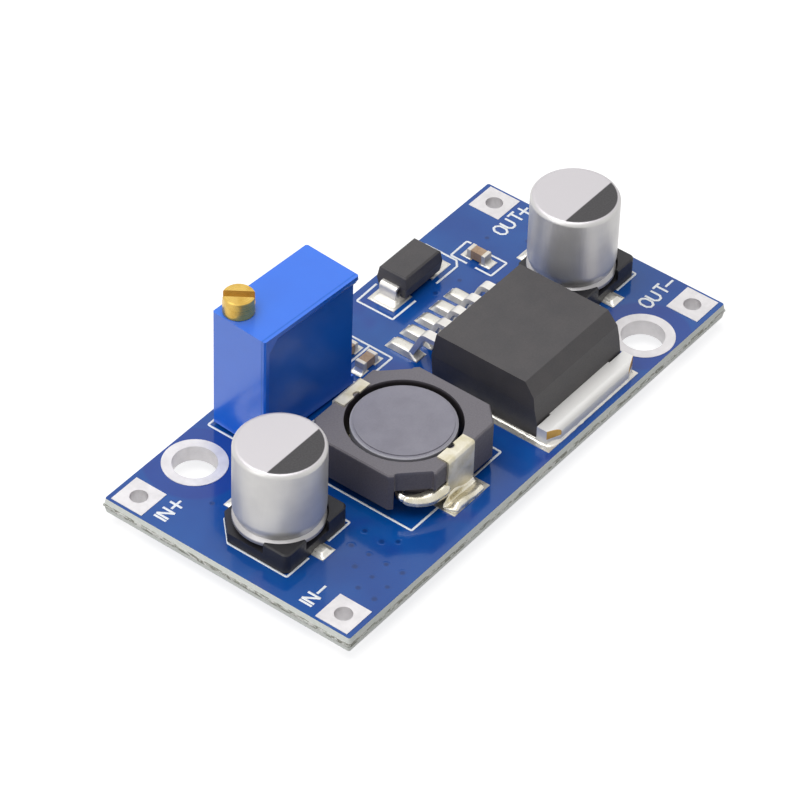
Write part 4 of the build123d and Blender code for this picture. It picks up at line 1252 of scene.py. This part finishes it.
materials["fibre"] = stone_material(
    "torn_fibre", tone(240, 244, 238), tone(176, 180, 168), 0.7, 0.45, 0.01
)
rim_x, rim_y = board_high[0] - RIM_INSET, board_high[1] - RIM_INSET
rim_run = [(-rim_x, -rim_y), (rim_x, -rim_y), (rim_x, rim_y), (-rim_x, rim_y), (-rim_x, -rim_y)]
torn = grow(
    "torn_fibres",
    curve_of("torn_fibres", at_height([rim_run], BOARD_TOP / 2)),
    torn_tree(),
    Step=0.16 * MM,
    Nudge=0.02 * MM,
    Width=0.05 * MM,
    Height=0.2 * MM,
    Seed=7,
    Material=materials["fibre"],
)
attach(torn, "board")

# %% [markdown]
# ## Studio
# The photo is a white product shot. The floor is pale and keeps a soft shadow, and the world is white to the
# camera and in reflections, but dimmer as a light, so that colours render as they are written.
# %% Floor and world
WHITE = (1, 1, 1, 1)
FLOOR_HALF, FLOOR_GAP = 3.0, 0.02 * MM
PAPER_TONE, PAPER_GLOW = 0.35, 0.8
SKY_LIGHT = 0.28


def white_rays(tree):
    """1 for the rays that show the background: the camera's, and those in reflections and through glass."""
    rays = add(tree, "ShaderNodeLightPath").outputs
    kinds = ("Is Camera Ray", "Is Glossy Ray", "Is Transmission Ray")
    return math_node(tree, "MAXIMUM", *(rays[kind] for kind in kinds))


def paper_material():
    material = bpy.data.materials.new("floor_paper")
    material.use_nodes = True
    tree = material.node_tree
    tree.nodes.clear()
    paper = add(tree, "ShaderNodeBsdfDiffuse", Color=(*(PAPER_TONE,) * 3, 1)).outputs[0]
    glow = add(tree, "ShaderNodeEmission", Color=WHITE, Strength=PAPER_GLOW).outputs[0]
    both = add(tree, "ShaderNodeAddShader", i0=paper, i1=glow).outputs[0]
    mix = add(tree, "ShaderNodeMixShader", i0=white_rays(tree), i1=paper, i2=both).outputs[0]
    add(tree, "ShaderNodeOutputMaterial", Surface=mix)
    return material


floor_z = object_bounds()[0][2] - FLOOR_GAP
corners = [(FLOOR_HALF * x, FLOOR_HALF * y) for x, y in ((-1, -1), (1, -1), (1, 1), (-1, 1))]
floor_mesh = bpy.data.meshes.new("floor")
floor_mesh.from_pydata([(x, y, floor_z) for x, y in corners], [], [(0, 1, 2, 3)])
floor_mesh.materials.append(paper_material())
link_object("floor", floor_mesh)

world = bpy.data.worlds.new("white_tent")
bpy.context.scene.world = world
world.use_nodes = True
sky = world.node_tree
sky.nodes.clear()
sky_strength = remap(sky, white_rays(sky), 0.0, 1.0, SKY_LIGHT, 1.0)
background = add(sky, "ShaderNodeBackground", Color=WHITE, Strength=sky_strength).outputs[0]
add(sky, "ShaderNodeOutputWorld", Surface=background)
print("floor at", round(floor_z / MM, 2), "mm")

# %% Lamps


def soft_lamp(name, place, aim, size, power):
    """A square area lamp that points from one place at another, all in metres."""
    data = bpy.data.lights.new(name, "AREA")
    data.shape = "SQUARE"
    data.size = size
    data.energy = power
    lamp = link_object(name, data)
    lamp.location = place
    lamp.rotation_euler = (Vector(aim) - Vector(place)).to_track_quat("-Z", "Y").to_euler()


soft_lamp("softbox_above", (-0.03, 0.05, 0.32), (0, 0, 0), 0.3, 0.82)
soft_lamp("softbox_left", (-0.3, 0.06, 0.14), (0, 0, 0.005), 0.2, 0.22)
print("studio ready")

# %% [markdown]
# ## Camera
# The place and turn were solved from the photo, by matching the board's corners and pads: about 310 mm away,
# 42 degrees above the horizon, through a long lens.
# %% Camera
lens = bpy.data.cameras.new("photo_camera")
lens.sensor_width = 36
lens.lens = 200.28
lens.clip_start, lens.clip_end = 0.01, 10
camera = link_object("photo_camera", lens)
camera.location = (-0.18474, -0.13455, 0.21002)
camera.rotation_euler = (0.829606, -0.025569, -0.91101)
bpy.context.scene.camera = camera
bpy.context.scene.view_settings.view_transform = "Standard"
print("camera", round(camera.location.length / MM), "mm from the board's middle")
